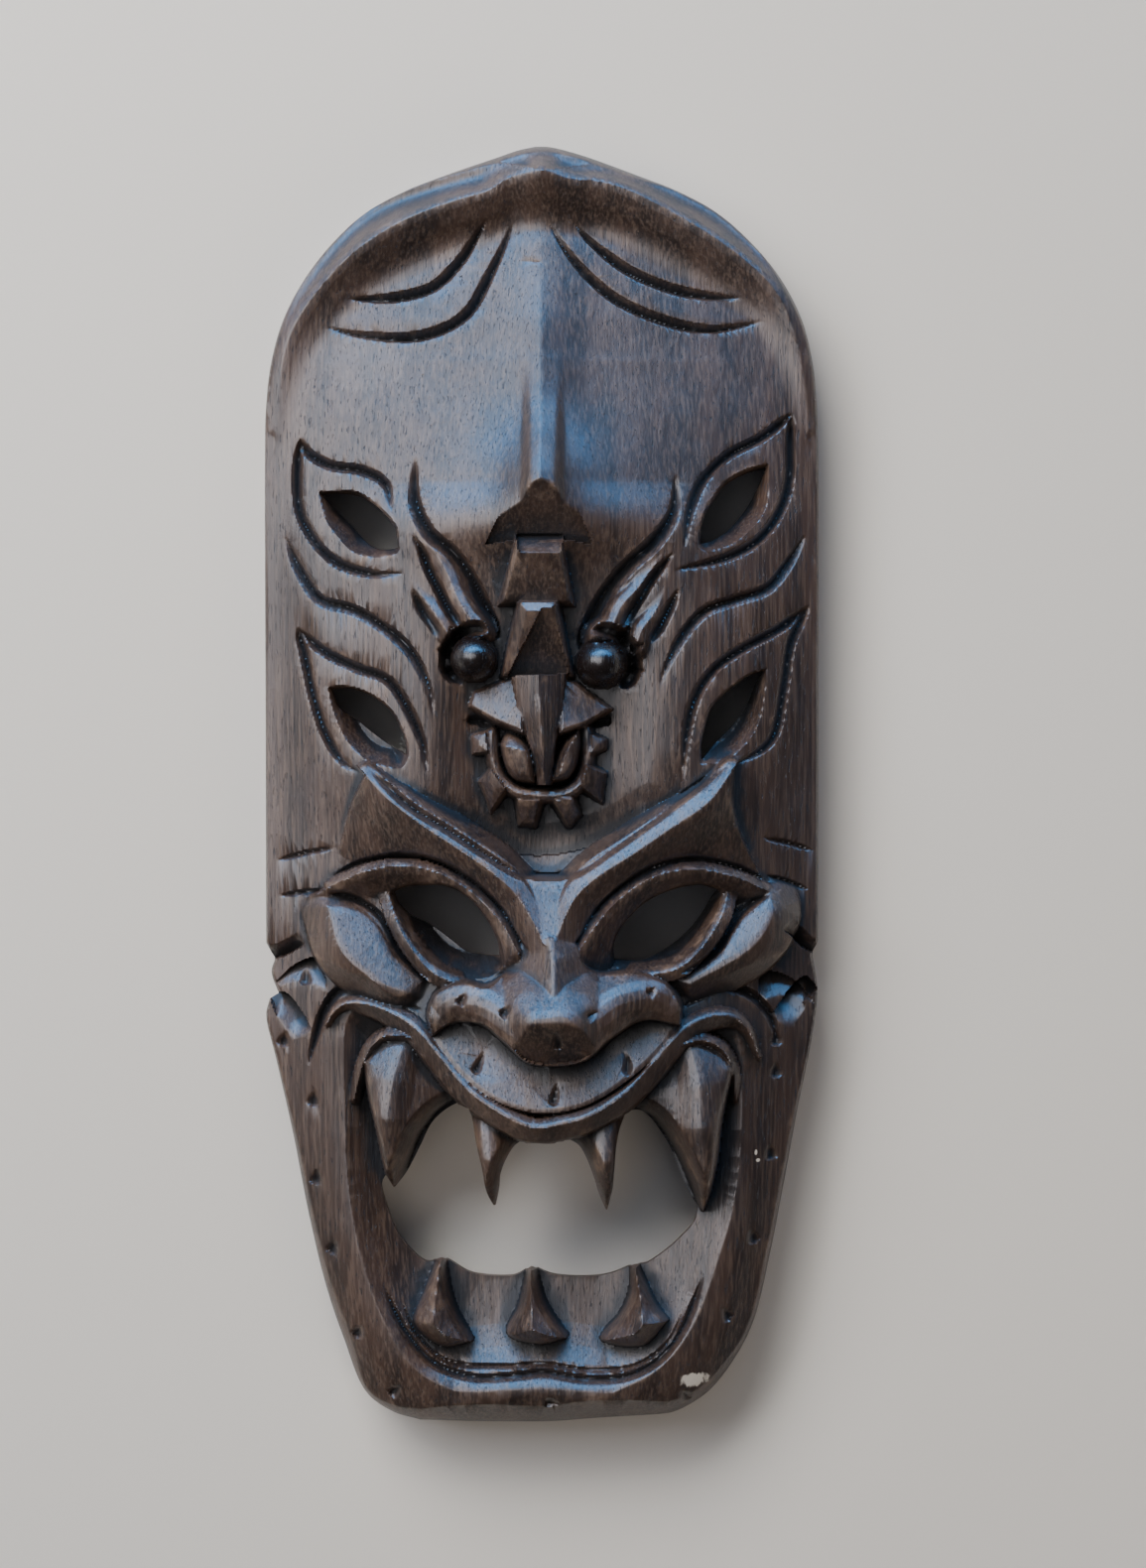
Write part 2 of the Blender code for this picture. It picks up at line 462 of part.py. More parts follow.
    b.sweep(curve((-0.8, 30.2), (-0.4, 20), (0.3, 10), (0.8, -0.5)), (38.5, 39.2, 39.2, 36.5),
            ((-8.6, -13), (-7.4, -4.6), (0, 0), (7.4, -4.6), (8.6, -13)), width=(1, 0.8, 0.45, 0.26),
            cut=True)
    for line in ([(-20.8, 17.6), (-17.5, 17.6), (-13.5, 16.4)], [(19.3, 17.6), (16.5, 17.6), (12, 16)]):
        b.groove(curve(*line), 3.4, 3.2, ends=(0.1, 0.5))
    # lower jaw, with the mouth line over it
    b.sweep(curve((-14, 14), (-13.4, 6), (-11, 1), (-7, -2.2), (0, -3.2), (7, -2.6), (11.3, 1), (12.8, 6),
                  (12.5, 15)),
            (30, 31, 31.5, 32, 32, 32, 31.5, 31, 30), ((-2.2, -5), (-1.1, -0.8), (0, 0), (1.3, -0.8),
                                                       (2.2, -3)))
    b.groove(curve((-11.8, 9), (-10, 3), (-7, 0.3), (-3, -0.8), (0, -1), (4, -0.8), (7, 0.5), (10, 4),
                   (11.2, 10)),
             1.6, 3.0, ends=(0.1, 0.1))
    for outline, low, high in (
        ([(-20.4, 14.2), (-15, 15.2), (-13.8, 8.2), (-19.8, 7.6)], 28, 33),
        ([(-18.3, 1), (-13.8, 5), (-9, -1.2), (-14.3, -9)], 28, 34),
        ([(-7.4, -3.6), (0.3, -3.6), (-1.6, -12.4), (-6.8, -11.8)], 27.5, 33.5),
        ([(2, -3.2), (9, -3), (11.4, -8.8), (8.3, -12.4), (6.7, -12.2)], 27.5, 33.5),
        ([(12, 6.2), (18.6, 3.5), (17.4, -6.8), (9.8, -0.8)], 28, 34),
        ([(13.2, 14.8), (18.8, 13), (18.5, 9.2), (12.6, 7.2)], 28, 33),
    ):
        line = np.array(outline, float)
        mx, my = line.mean(0)
        ring = loop(*[[tuple(line[k]), tuple(line[(k + 1) % len(line)])] for k in range(len(line))])
        away = np.hypot(mx, my - 8)
        nx, ny = mx / away, (my - 8) / away
        middle = (high + low) / 2
        fall = slope((mx, my, middle), (mx + 4 * nx, my + 4 * ny, low), (mx - ny, my + nx, middle))
        b.plate(ring, lambda px, py: np.clip(fall(px, py), low, high),
                ((0, -5), (0.9, -0.8), (3, 0)))


def brows(b):
    b.step(curve((39.3, 9), (39, 2), (37, -5), (30, -9.5), (20, -15.5), (10, -18.5), (0, -20), (-10, -19),
                 (-20, -15),
                 (-30, -9), (-34, -2)), 9, 1.8, side=-1, ends=(0.2, 0.2))
    left = [(-48.5, 2.4), (-42, -4.2), (-34, -10.4), (-24, -17), (-14, -23.8), (-7.2, -30), (-2.6, -37),
            (0.8, -44),
            (3.2, -51)]
    right = [(52.5, 3.6), (46, -5), (35, -12.6), (25, -19.4), (15, -25.8), (9.8, -30.5), (6.2, -37),
             (4, -44),
             (3.6, -51)]
    tall = (33.5, 37, 38.8, 40, 40.8, 41.8, 43.8, 46)
    for side, crest, lid in (
        (-1, left, [(-58.8, -25.5), (-50, -21.5), (-40, -19.8), (-30, -21), (-20, -26.5), (-10, -36),
                    (-4, -45), (3.2, -51)]),
        (1, right, [(62.8, -28.5), (53, -24), (42, -21.6), (31, -23.5), (21, -30), (12, -40), (7, -46),
                    (3.6, -51)]),
    ):
        line = curve(*crest)
        outer = [lid[0], (side * 55.5, -15), (side * 52.5, -5), crest[0]]
        b.facet(loop(crest, lid[::-1], outer), line, tall, ((0, 0), (2, -1.2), (10, -8), (26, -17)))
        rise = [(0, 0), (4, -2.2), (5, -4), (8, -14)]
        b.sweep(line, tall, rise if side < 0 else [(-o, d) for o, d in rise][::-1],
                width=(0.7, 1, 1, 1, 1, 0.9, 0.6, 0.4))
    b.groove(curve((-47, 3.6), (-40, -3), (-35, -7), (-25, -13), (-15, -19.5), (-6, -24.8), (0, -26),
                   (5, -25.8),
                   (10, -24.2), (20, -17.5), (30, -10.5), (40, -3), (51, 5)), 3.0, 2.4, ends=(0.1, 0.1))
    # the saddle between the brows, rising to the bridge of the nose
    b.plate(loop([(-12, -24.2), (-5, -26), (2, -26.6), (8, -26), (13, -24.4)],
                 [(13, -24.4), (9.4, -31), (6, -37), (3.8, -44)], [(3.8, -44), (1, -44), (-2.4, -37),
                                                                   (-7, -30), (-12, -24.2)]),
            slope((2, -26, 37), (10, -26, 37), (3, -44, 45.2)), ((0, 0), (1, 0)), soft=0.6)


def eyes(b):
    for side, upper, tall, hole_front, lower, under, pouch in (
        (-1,
         [(-59, -28.5), (-50, -24.5), (-40, -22.5), (-30, -23.8), (-20, -29), (-11, -38), (-6.5, -46)],
         (25, 31, 34.5, 36.5, 38, 39.5, 41),
         loop([(-42.2, -30), (-38, -28), (-33, -27.4), (-28, -27.4), (-23.6, -28.5), (-19.6, -31),
               (-13.4, -39),
               (-11, -44), (-10, -50)],
              [(-10, -50), (-14, -53), (-18, -53.6), (-22, -53.2), (-30, -49.7), (-36, -43.2), (-40, -36),
               (-42.2, -30)]),
         [(-42.5, -31), (-40.5, -37), (-38, -42), (-35, -46.5), (-32, -50), (-28, -53), (-24, -54.5)],
         [(-60, -30.5), (-55, -31), (-51, -32.5), (-47, -35), (-44, -38), (-41.5, -42), (-39.5, -46),
          (-34, -52),
          (-30, -54)],
         loop([(-59.5, -34), (-55, -34.3), (-50, -35.8), (-46, -39.5), (-41, -48)], [(-41, -48),
                                                                                     (-33, -54.5)],
              [(-33, -54.5), (-38, -58.5), (-43, -57.3), (-48, -53), (-53, -49), (-56, -45),
               (-59.5, -34)])),
        (1,
         [(62.5, -29.5), (53, -25.5), (42, -23.5), (31, -25.5), (21, -32), (14, -40), (9.5, -47)],
         (25, 31, 34.5, 36.5, 38, 39.5, 41),
         loop([(19.2, -50.5), (19.4, -44), (21.5, -39.2), (24.6, -35.6), (28.6, -32), (34, -29.4),
               (39, -27.9),
               (44, -27.4), (50.2, -29.2)],
              [(50.2, -29.2), (48.7, -35), (43.7, -44.2), (40, -47.7), (36, -50.2), (31, -51.2),
               (19.2, -50.5)]),
         [(51.5, -30.5), (50, -36), (46.5, -42), (42.5, -47), (38, -50.5), (33, -52), (26, -52.4)],
         [(62.5, -31), (59, -33), (55.5, -36), (52.5, -40), (50, -44), (46.5, -47.5), (42, -50.5),
          (38, -52.3)],
         loop([(63.5, -31.5), (64.3, -35), (63, -39), (60, -43.5), (56, -47), (51, -50), (41, -55.3)],
              [(41, -55.3), (37, -54)], [(37, -54), (44, -51), (50, -46.5), (53, -41), (57, -36),
                                         (63.5, -31.5)])),
    ):
        b.groove(curve(*[(x, y + 2.6) for x, y in upper]), 2.6, 2.4, ends=(0.15, 0.2))
        lid = ((-10, -8), (-2, -1), (0, 0), (2, -3))
        b.sweep(curve(*upper), tall, lid if side < 0 else [(-o, d) for o, d in lid][::-1], soft=0.6)
        face = slope((side * 58, -34, 26.5), (side * 41, -47, 29.5), (side * 47, -54, 33.5))
        b.plate(pouch, lambda x, y: np.minimum(face(x, y), 33.5),
                ((-8, -10), (-3, -3.5), (0, -0.3), (1.5, 0)), soft=1.0)
        rim = ((-3, -1.8), (0, 0), (3, -3))
        b.sweep(curve(*lower), (28, 31, 33.5, 35, 36, 37, 37),
                rim if side < 0 else [(-o, d) for o, d in rim][::-1], soft=0.4)
        b.groove(curve(*under), 2.4, 2.6, ends=(0.15, 0.2))
        i = b.around(hole_front, 0.5)
        d = inside(b.x[i], b.y[i], hole_front)
        b.z[i] -= np.interp(d, (0, 0.6, 6), (0, 1.5, 11))


def nose(b):
    shape = loop([(-6, -44), (-10, -52), (-15, -55.8), (-22, -54.6), (-28.5, -57.5), (-31, -63),
                  (-30, -69)],
                 [(-30, -69), (-27, -66.5), (-24, -65.3), (-16, -65.5), (-10, -70), (-4, -75), (0, -76.2),
                  (5, -76.2),
                  (12, -74.5), (20, -68.5), (28, -64.6), (38, -66)],
                 [(38, -66), (37.5, -60), (33.5, -54.6), (26, -52), (17, -52.2), (12, -50), (9.5, -44)],
                 [(9.5, -44), (2, -42), (-6, -44)])
    b.facet(shape, curve((2.4, -42), (3.4, -48), (3.6, -54), (3.6, -60)), (45, 47.3, 49.2, 51),
            ((0, 0), (0.8, -0.2), (11, -9), (26, -26)), soft=0.4)
    wing = ((0, 0), (2.5, -0.6), (5, -2.2), (9, -6.5), (13, -13), (30, -44))
    b.facet(shape, curve((-27.5, -64), (-24, -61), (-17, -60.5), (-9, -65), (-1, -70), (3, -71)),
            (40.5, 43.5, 46, 49, 52, 53), wing, soft=0.8)
    b.facet(shape, curve((3, -71), (9, -69), (15, -64.5), (22, -60), (30, -59), (35, -61)),
            (53, 52, 49, 46, 43.5, 40.5), wing, soft=0.8)
    # the flat front of the tip
    b.facet(shape, curve((-1, -65), (7, -65), (6, -72), (1, -72), (-1, -65)), (54.5, 54.5),
            ((0, 0), (1.5, -0.2), (3.5, -1.4), (9, -6.5), (14, -13), (30, -44)), soft=0.4)
    # the tip leans back to its lower edge
    b.plate(shape, slope((0, -65, 54.5), (10, -65, 54.5), (0, -77, 45)), ((0, 0), (1, 0)), how="min",
            soft=0.6)
    # under the nose the lip's face rises to its crest
    lip = loop([(-30, -70), (-27, -66.5), (-24, -65.3), (-16, -65.5), (-10, -70), (-4, -75), (5, -76),
                (12, -74.5), (20, -68.5), (28, -64.6), (38, -66)],
               [(38, -66), (34, -72), (24, -81), (12, -88), (0, -90), (-12, -87), (-22, -80), (-30, -70)])
    rising = slope((0, -75, 38), (10, -75, 38), (2, -89, 43.8))
    b.plate(lip, rising, ((0, 14), (1.6, 0)), how="min")
    b.plate(lip, rising, ((0, -0.6), (1.2, 0)))


def lips(b):
    crest = curve((-60, -67), (-58, -63.5), (-55, -61.3), (-51, -60.8), (-43, -62.8), (-35, -67.3),
                  (-28, -75),
                  (-20, -84), (-12, -89.5), (-4, -93.5), (0, -94), (6, -92.8), (12, -91.3), (22, -85.5),
                  (30, -77.5),
                  (38, -69), (42, -66.3), (48, -64.3), (53, -64.8), (57, -68), (60.5, -76))
    tall = (25, 28, 32, 36, 39, 42.5, 44.5, 45, 44.5, 42.5, 39, 36, 32, 28, 25)
    # the mouth's inner bowl, stepping down inside the lip
    bowl = loop([(-58, -66), (-54, -62), (-45, -63), (-36, -68), (-28, -76), (-20, -84), (-10, -91),
                 (0, -94), (10, -92),
                 (20, -87), (30, -78), (38, -69), (48, -65), (56, -68), (60, -78)],
                [(60, -78), (60, -102), (57, -119), (52, -132), (46, -147), (40, -157), (32, -165),
                 (20, -171)],
                [(20, -171), (0, -168.8), (-25, -171)],
                [(-25, -171), (-36, -165.5), (-46.5, -150), (-54, -131), (-58.5, -110), (-59, -85),
                 (-58, -66)])
    i = b.around(bowl, 0.5)
    d = inside(b.x[i], b.y[i], bowl)
    i, d = i[d > 0], d[d > 0]
    drop = np.interp(d, (0, 1, 4, 8, 12, 18, 30), (0, 0.5, 2.2, 4.8, 7.2, 9.8, 11.5))
    b.z[i] = np.minimum(b.z[i], 25.5 - drop)
    jaw = [(60.5, -70), (60.5, -85), (60, -102), (57, -119), (52, -132), (46, -147), (40, -157), (32, -165),
           (20, -171), (0, -168.8), (-25, -171), (-36, -165.5), (-43, -156), (-49.5, -144), (-54, -131),
           (-57.5, -117), (-59, -100), (-59, -85), (-60, -66)]
    b.sweep(curve(*jaw), (25.5, 25.5), ((0, 0), (6, -2.6), (18, -11)), how="min")
    b.groove(curve((-65.5, -79), (-63.4, -71), (-61, -63.5), (-57, -58), (-50, -55.8), (-42, -58.5),
                   (-33, -63)),
             3.2, 3.4, ends=(0.25, 0.25))
    b.groove(curve((39, -62), (43, -59.5), (47, -57.5), (52, -56.7), (56, -57.5), (60, -60), (64, -65),
                   (66, -72)),
             3.2, 3.4, ends=(0.25, 0.25))
    b.sweep(crest, tall, ((-5.4, -8.5), (-4.2, -3.6), (0, 0), (1.0, -0.4), (2.8, -2.5)),
            width=(0.3, 0.8, 1, 1, 1, 1, 1, 1, 1, 1, 0.8, 0.3))
    b.groove(curve((-27, -72), (-22, -79), (-13, -86), (-3, -90), (3, -90), (12, -88), (24, -81.5),
                   (34, -71)),
             1.7, 2.2, ends=(0.15, 0.15))
    b.sweep(curve((-52.5, -88), (-49.5, -77), (-47, -72.5), (-43.5, -69.8), (-36, -70.2), (-28, -77.2)),
            (24, 27, 30, 32, 34, 36), ((-2, -3), (0, 0), (2, -3)))
    b.sweep(curve((54, -88), (53, -79), (50, -73.5), (45, -71), (39, -72), (33, -77)),
            (24, 27, 30, 32, 34, 36), ((-2, -3), (0, 0), (2, -3)))


def teeth(b):
    for outer, inner, root, ridge, heights, section in (
        ([(-49, -77), (-48, -85), (-46, -93), (-44.5, -100), (-43.2, -107), (-41.2, -113)],
         [(-41.2, -113), (-38, -104), (-35, -97), (-30, -91), (-22, -87)],
         [(-22, -87), (-28, -76), (-37, -71), (-44, -71), (-49, -77)],
         [(-38, -72), (-41, -82), (-42.6, -94), (-42.4, -104), (-41.2, -113)], (31, 34.5, 36, 34, 29),
         ((0, 0), (2, -0.5), (6, -3), (18, -7))),
        ([(53, -79), (49.5, -93), (48, -105), (45, -119)], [(45, -119), (41, -108), (36, -98), (31, -92),
                                                            (23, -89)],
         [(23, -89), (31, -77), (40, -71), (48, -72), (53, -79)],
         [(41, -72), (43.5, -82), (44, -94), (45, -106), (45, -118)], (31, 34.5, 36, 34, 29),
         ((0, 0), (2, -0.5), (6, -3), (18, -7))),
        ([(-23, -84), (-19.5, -93), (-17, -103), (-15, -113), (-13, -118.5)],
         [(-13, -118.5), (-11.5, -108), (-9, -102), (-2, -95)], [(-2, -95), (-12, -89.5), (-23, -84)],
         [(-15, -88), (-14.5, -97), (-14.2, -106), (-13, -118)], (35.5, 38.5, 40.5, 39, 33),
         ((0, 0), (2.2, -0.5), (5, -3), (10, -5))),
        ([(26, -84), (21.8, -95), (20.3, -104), (18, -119.5)], [(18, -119.5), (14.8, -109),
                                                                (11.5, -101), (4, -96)],
         [(4, -96), (14, -90.5), (26, -84)],
         [(17.5, -88), (17.2, -97), (17.4, -106), (18, -119)], (35.5, 38.5, 40.5, 39, 33),
         ((0, 0), (2.2, -0.5), (5, -3), (10, -5))),
    ):
        outline = loop(outer, inner, root)
        before = b.z.copy()
        b.facet(outline, curve(*ridge), heights, section)
        i = b.around(outline, WALL_FOOT)
        d = inside(b.x[i], b.y[i], outline)
        i, d = i[d > -WALL_FOOT], d[d > -WALL_FOOT]
        under = nearest(b.x[i], b.y[i], curve(*inner))[0]
        pared = np.interp(d, (0, 1, 2.5), (1.6, 0.4, 0)) + np.interp(under, (0, 3.6), (4.5, 0))
        b.z[i] = np.maximum(before[i], b.z[i] - pared)
    b.plate(loop([(-6, -94), (-2, -99), (2, -99), (8, -95)], [(8, -95), (0, -92), (-6, -94)]),
            slope((0, -94, 38), (4, -94, 38), (1, -99, 30)), ((0, 0), (1, 0)))
    for right, left, ridge in (
        ([(-28.3, -132.8), (-26.8, -141), (-24.5, -148), (-20, -155.5)],
         [(-20, -155.5), (-28, -157), (-36, -150.5), (-32.5, -142), (-28.3, -132.8)], -29),
        ([(-3, -135.2), (0, -145), (3, -150), (6.5, -154.5)],
         [(6.5, -154.5), (-1, -156.5), (-9.5, -154), (-6, -146), (-3, -135.2)], -2.5),
        ([(26, -134.8), (29, -141), (31.5, -145.5), (35, -149.5)],
         [(35, -149.5), (28, -157), (16.5, -155.5), (22, -149), (25, -143), (26, -134.8)], 27),
    ):
        b.plate(loop(right, left), slope((ridge, -134, 33.5), (ridge, -154, 31), (ridge - 9, -154, 29)),
                ((0, -9.5), (1.2, -6), (6.5, 0)), soft=0.5)
    b.groove(curve((-44.5, -139), (-41, -148), (-36, -156), (-30, -162), (-20, -165.5), (-6, -165),
                   (0, -164.3),
                   (12, -166), (23, -165.5), (32, -161), (39, -152.5), (45, -137.5)), 2.6, 2.2,
             ends=(0.1, 0.1))
    b.groove(curve((-40, -143), (-35, -154), (-27, -161.2), (-10, -162.6), (0, -162), (14, -163.8),
                   (26, -162.4),
                   (35, -156), (40, -146)), 1.6, 1.4, ends=(0.15, 0.15))


def ears(b):
    b.step(curve((-76.8, -59.6), (-73, -58.3), (-70, -60.5), (-67, -64.5), (-64.5, -69)), 6.5, 5,
           side=-1, ends=(0, 0.3))
    b.step(curve((77.5, -57.5), (74, -54), (70, -56.8), (67, -60.8), (64, -64.6)), 7, 5, side=1,
           ends=(0, 0.3))
    b.step(curve((-77.5, -49.2), (-73.5, -48.6), (-70, -47), (-66.5, -44.8)), 4, 5, side=1, ends=(0, 0.3))
    b.step(curve((78, -47.6), (74.5, -46.8), (71, -43.7), (67, -40.3)), 4, 5, side=-1, ends=(0, 0.3))


def marks(b):
    for cx, cy, turn in ((-66.3, -54, 0), (-72.5, -71.5, 20), (-64, -88, 10), (-63.3, -110, 10),
                         (-58.5, -129.5, 20),
                         (-51.3, -153, 30), (-41, -169.5, 50), (65.5, -71, 0), (65.5, -80, 0),
                         (64, -103, -10),
                         (59, -126.5, -20), (51.5, -148, -30), (40, -171, -50), (3, -172.8, 90),
                         (17.5, -173.4, 90),
                         (-16.5, -175, 90)):
        a = np.radians(turn)
        p = [(cx + r * np.sin(a), cy + r * np.cos(a)) for r in (2.3, 0, -2.3)]
        b.groove(curve(*p), 4.0, 1.8, ends=(0.85, 0.12))
    for line in ([(-15.6, -73.2), (-17, -76.6), (-18.5, -79.6)], [(22.6, -73.4), (23.6, -76.6),
                                                                  (23.4, -80)],
                 [(4.6, -81.4), (3.8, -84.8), (3, -88)], [(-20.4, -57), (-21.4, -58.6), (-22.6, -60.4)],
                 [(-8.4, -60), (-9.4, -61.6), (-11, -63.2)], [(15.4, -62), (13.8, -62.8), (12.2, -63.6)],
                 [(3.6, -67), (4.4, -69.4), (4.6, -72)], [(31.2, -55.6), (30.2, -56.8), (29, -57.6)]):
        b.groove(curve(*line), 3.2, 1.8, ends=(0.9, 0.12))


def front(x, y):
    b = Block(x, y)
    b.z = block(x, y)
    edge = inside(x, y, OUTLINE)
    forehead(b)
    dragon(b)
    brows(b)
    lips(b)
    eyes(b)
    nose(b)
    teeth(b)
    waves(b)
    ears(b)
    marks(b)
    # the outer edge is worn round
    worn = 1 - np.clip(edge, 0, 2.5) / 2.5
    b.z = np.minimum(b.z, 12.2 + 2.2 * np.sqrt(1 - worn**2) + 1.45 * np.maximum(edge, 0))
    return b.z


def back(x, y, face_height):
    """The hollow behind: a flat rim, a steep inner wall and a ceiling that follows the block."""
    edge = np.maximum(inside(x, y, OUTLINE) * BROAD, 0)
    ceiling = soft_min(block(x, y) * DEEP - WALL, face_height - THIN, 0.002)
    return np.clip(np.minimum(ceiling, 2.2 * (edge - RIM)), 0, None)


def plan_distance(x, y):
    """Distance to the edge of the plan, positive in the wood."""
    d = inside(x, y, OUTLINE)
    for hole in HOLES:
        i = np.flatnonzero((np.abs(x - hole[:, 0].mean()) < 60) & (np.abs(y - hole[:, 1].mean()) < 50))
        d[i] = np.minimum(d[i], -inside(x[i], y[i], hole))
    return d


def onto_edge(x, y):
    """The nearest points on the edges of the plan."""
    best = np.full(len(x), np.inf)
    px, py = x.copy(), y.copy()
    for line in [OUTLINE] + HOLES:
        dist, share, _ = nearest(x, y, line, closed=True)
        ring = np.vstack([line, line[:1]])
        run = np.concatenate([[0], np.cumsum(np.hypot(*np.diff(ring, axis=0).T))])
        near = dist < best
        best[near] = dist[near]
        px[near] = np.interp(share[near] * run[-1], run, ring[:, 0])
        py[near] = np.interp(share[near] * run[-1], run, ring[:, 1])
    return px, py


def plan_grid(step):
    """Points and squares of a grid cut to the plan, its outer points drawn onto the edges."""
    xs = np.arange(-80, 80 + step, step)
    ys = np.arange(-182, 182 + step, step)
    x, y = (v.ravel() for v in np.meshgrid(xs, ys))
    n = len(xs)
    keep = (plan_distance(x, y) > -0.35 * step).reshape(len(ys), n)
    cell = keep[:-1, :-1] & keep[1:, :-1] & keep[:-1, 1:] & keep[1:, 1:]
    # squares that would meet only at a corner
    for _ in range(6):
        a, b, c, d = cell[:-1, :-1], cell[:-1, 1:], cell[1:, :-1], cell[1:, 1:]
        pinch = (a & d & ~b & ~c) | (b & c & ~a & ~d)
        if not pinch.any():
            break
        a[pinch] = False
        b[pinch] = False
    row, col = np.nonzero(cell)
    first = row * n + col
    quads = np.column_stack([first, first + 1, first + n + 1, first + n])
    used, flat = np.unique(quads, return_inverse=True)
    return x[used], y[used], flat.reshape(quads.shape)


def edge_loop(quads):
    """Edges that only one square uses, in its direction."""
    a = quads.ravel()
    b = np.roll(quads, -1, axis=1).ravel()
    size = quads.max() + 1
    twin = np.isin(a * size + b, b * size + a)
    return a[~twin], b[~twin]


def carved_mesh(step):
    x, y, quads = plan_grid(step)
    start, end = edge_loop(quads)
    x[start], y[start] = onto_edge(x[start], y[start])
    top = front(x, y) * DEEP
    under = back(x, y, top)
    count = len(x)
    points = np.zeros((2 * count, 3))
    points[:, 0] = np.tile(x * BROAD, 2)
    points[:, 1] = np.tile(y * LONG, 2)
    points[:, 2] = np.concatenate([top, under])
    walls = np.column_stack([start, start + count, end + count, end])
    faces = np.vstack([quads, quads[:, ::-1] + count, walls])
    mesh = bpy.data.meshes.new(NAME)
    mesh.from_pydata(points.tolist(), [], faces.tolist())
    bm = bmesh.new()
    bm.from_mesh(mesh)
    bmesh.ops.remove_doubles(bm, verts=bm.verts, dist=0.00012)
    bmesh.ops.dissolve_degenerate(bm, edges=bm.edges, dist=0.00001)
    bmesh.ops.triangulate(bm, faces=bm.faces)
    bm.to_mesh(mesh)
    bm.free()
    return mesh


def wood():
    material = bpy.data.materials.new("dark carved wood")
    material.use_nodes = True
    shader = material.node_tree.nodes["Principled BSDF"]
    shader.inputs["Base Color"].default_value = (0.085, 0.045, 0.028, 1)
    shader.inputs["Roughness"].default_value = 0.42
    return material


for old in list(bpy.data.objects):
    bpy.data.objects.remove(old)

collection = bpy.data.collections.new(NAME)
bpy.context.scene.collection.children.link(collection)

mask = bpy.data.objects.new("mask", carved_mesh(GRAIN))
collection.objects.link(mask)
thin = mask.modifiers.new("fewer faces", "DECIMATE")
thin.ratio = TRIANGLES / len(mask.data.polygons)
thin.use_collapse_triangulate = True

# the reduced surface becomes the mask's own, its rim laid flat again and the whole centred
bpy.context.view_layer.update()
reduced = bpy.data.meshes.new_from_object(mask.evaluated_get(bpy.context.evaluated_depsgraph_get()))
mask.modifiers.clear()
mask.data = reduced
points = np.empty(len(reduced.vertices) * 3)
reduced.vertices.foreach_get("co", points)
points = points.reshape(-1, 3)
points[np.abs(points[:, 2]) < 0.0003, 2] = 0.0
points[:, :2] -= 0.5 * (points[:, :2].min(axis=0) + points[:, :2].max(axis=0))
reduced.vertices.foreach_set("co", points.ravel())
reduced.update()
reduced.materials.clear()
reduced.materials.append(wood())
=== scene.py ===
import bpy
import mathutils
import numpy as np
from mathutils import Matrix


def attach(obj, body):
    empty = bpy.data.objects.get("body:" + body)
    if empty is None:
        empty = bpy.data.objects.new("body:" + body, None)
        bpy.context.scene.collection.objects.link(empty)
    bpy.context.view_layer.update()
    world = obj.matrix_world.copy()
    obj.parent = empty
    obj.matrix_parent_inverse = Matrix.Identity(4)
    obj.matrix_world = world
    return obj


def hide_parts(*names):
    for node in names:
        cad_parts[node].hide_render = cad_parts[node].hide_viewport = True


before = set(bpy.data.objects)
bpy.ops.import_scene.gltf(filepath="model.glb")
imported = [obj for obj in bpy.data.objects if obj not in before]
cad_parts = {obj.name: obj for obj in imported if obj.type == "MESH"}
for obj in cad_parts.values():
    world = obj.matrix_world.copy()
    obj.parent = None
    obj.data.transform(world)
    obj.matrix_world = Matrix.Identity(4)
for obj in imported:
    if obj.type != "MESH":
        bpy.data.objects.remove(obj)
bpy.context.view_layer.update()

# driving sizes, in metres, as in the solid
LENGTH = 0.360
WIDTH = 0.156
DEPTH = 0.055
RIM = 0.010
WALL = 0.011
THIN = 0.003
LONG = LENGTH / 360
BROAD = WIDTH / 156
DEEP = DEPTH / 55

# spacing of the carved surface, and how many triangles are kept of it
GRAIN = 0.45
TRIANGLES = 190000

# the dragon's two eyeballs: middle and radius, as drawn
EYEBALLS = ((-18.7, 34.8, 6.6), (16.5, 33.6, 7.2))

# where the pale wood shows: a chip out of the chin and two specks by the mouth, each as its middle and
# radii in metres and how ragged its edge is
CHIPS = (
    ((0.0427, -0.1664, 0.025), (0.0046, 0.0021), 1.6),
    ((0.0600, -0.1030, 0.020), (0.0005, 0.0009), 0.8),
    ((0.0606, -0.1052, 0.020), (0.0007, 0.0005), 0.8),
)

# the camera: width of its sensor and length of its lens in millimetres, its place in metres
SENSOR = 36
LENS = 80.4
CAMERA_PLACE = (0.00882, 0, 1.0)

# side of the squares that the search for a line's nearest point works in, and the width of a steep wall
TILE = 10.0
WALL_FOOT = 1.3


def smooth(t):
    t = np.clip(t, 0.0, 1.0)
    return t * t * (3.0 - 2.0 * t)


def curve(*points, gap=0.5):
    """A smooth line through the points, as closely spaced points."""
    p = np.array(points, float)
    p = np.vstack([2 * p[0] - p[1], p, 2 * p[-1] - p[-2]])
    line = []
    for a, b, c, d in zip(p, p[1:], p[2:], p[3:]):
        k0, k1, k2 = (max(np.linalg.norm(v), 1e-6) ** 0.5 for v in (b - a, c - b, d - c))
        m1 = (c - b) + k1 * ((b - a) / k0 - (c - a) / (k0 + k1))
        m2 = (c - b) + k1 * ((d - c) / k2 - (d - b) / (k1 + k2))
        count = int(np.ceil(np.linalg.norm(c - b) / gap))
        t = np.arange(count)[:, None] / count
        line.append(b + t * (m1 + t * (3 * (c - b) - 2 * m1 - m2 + t * (2 * (b - c) + m1 + m2))))
    return np.vstack(line + [p[-2]])


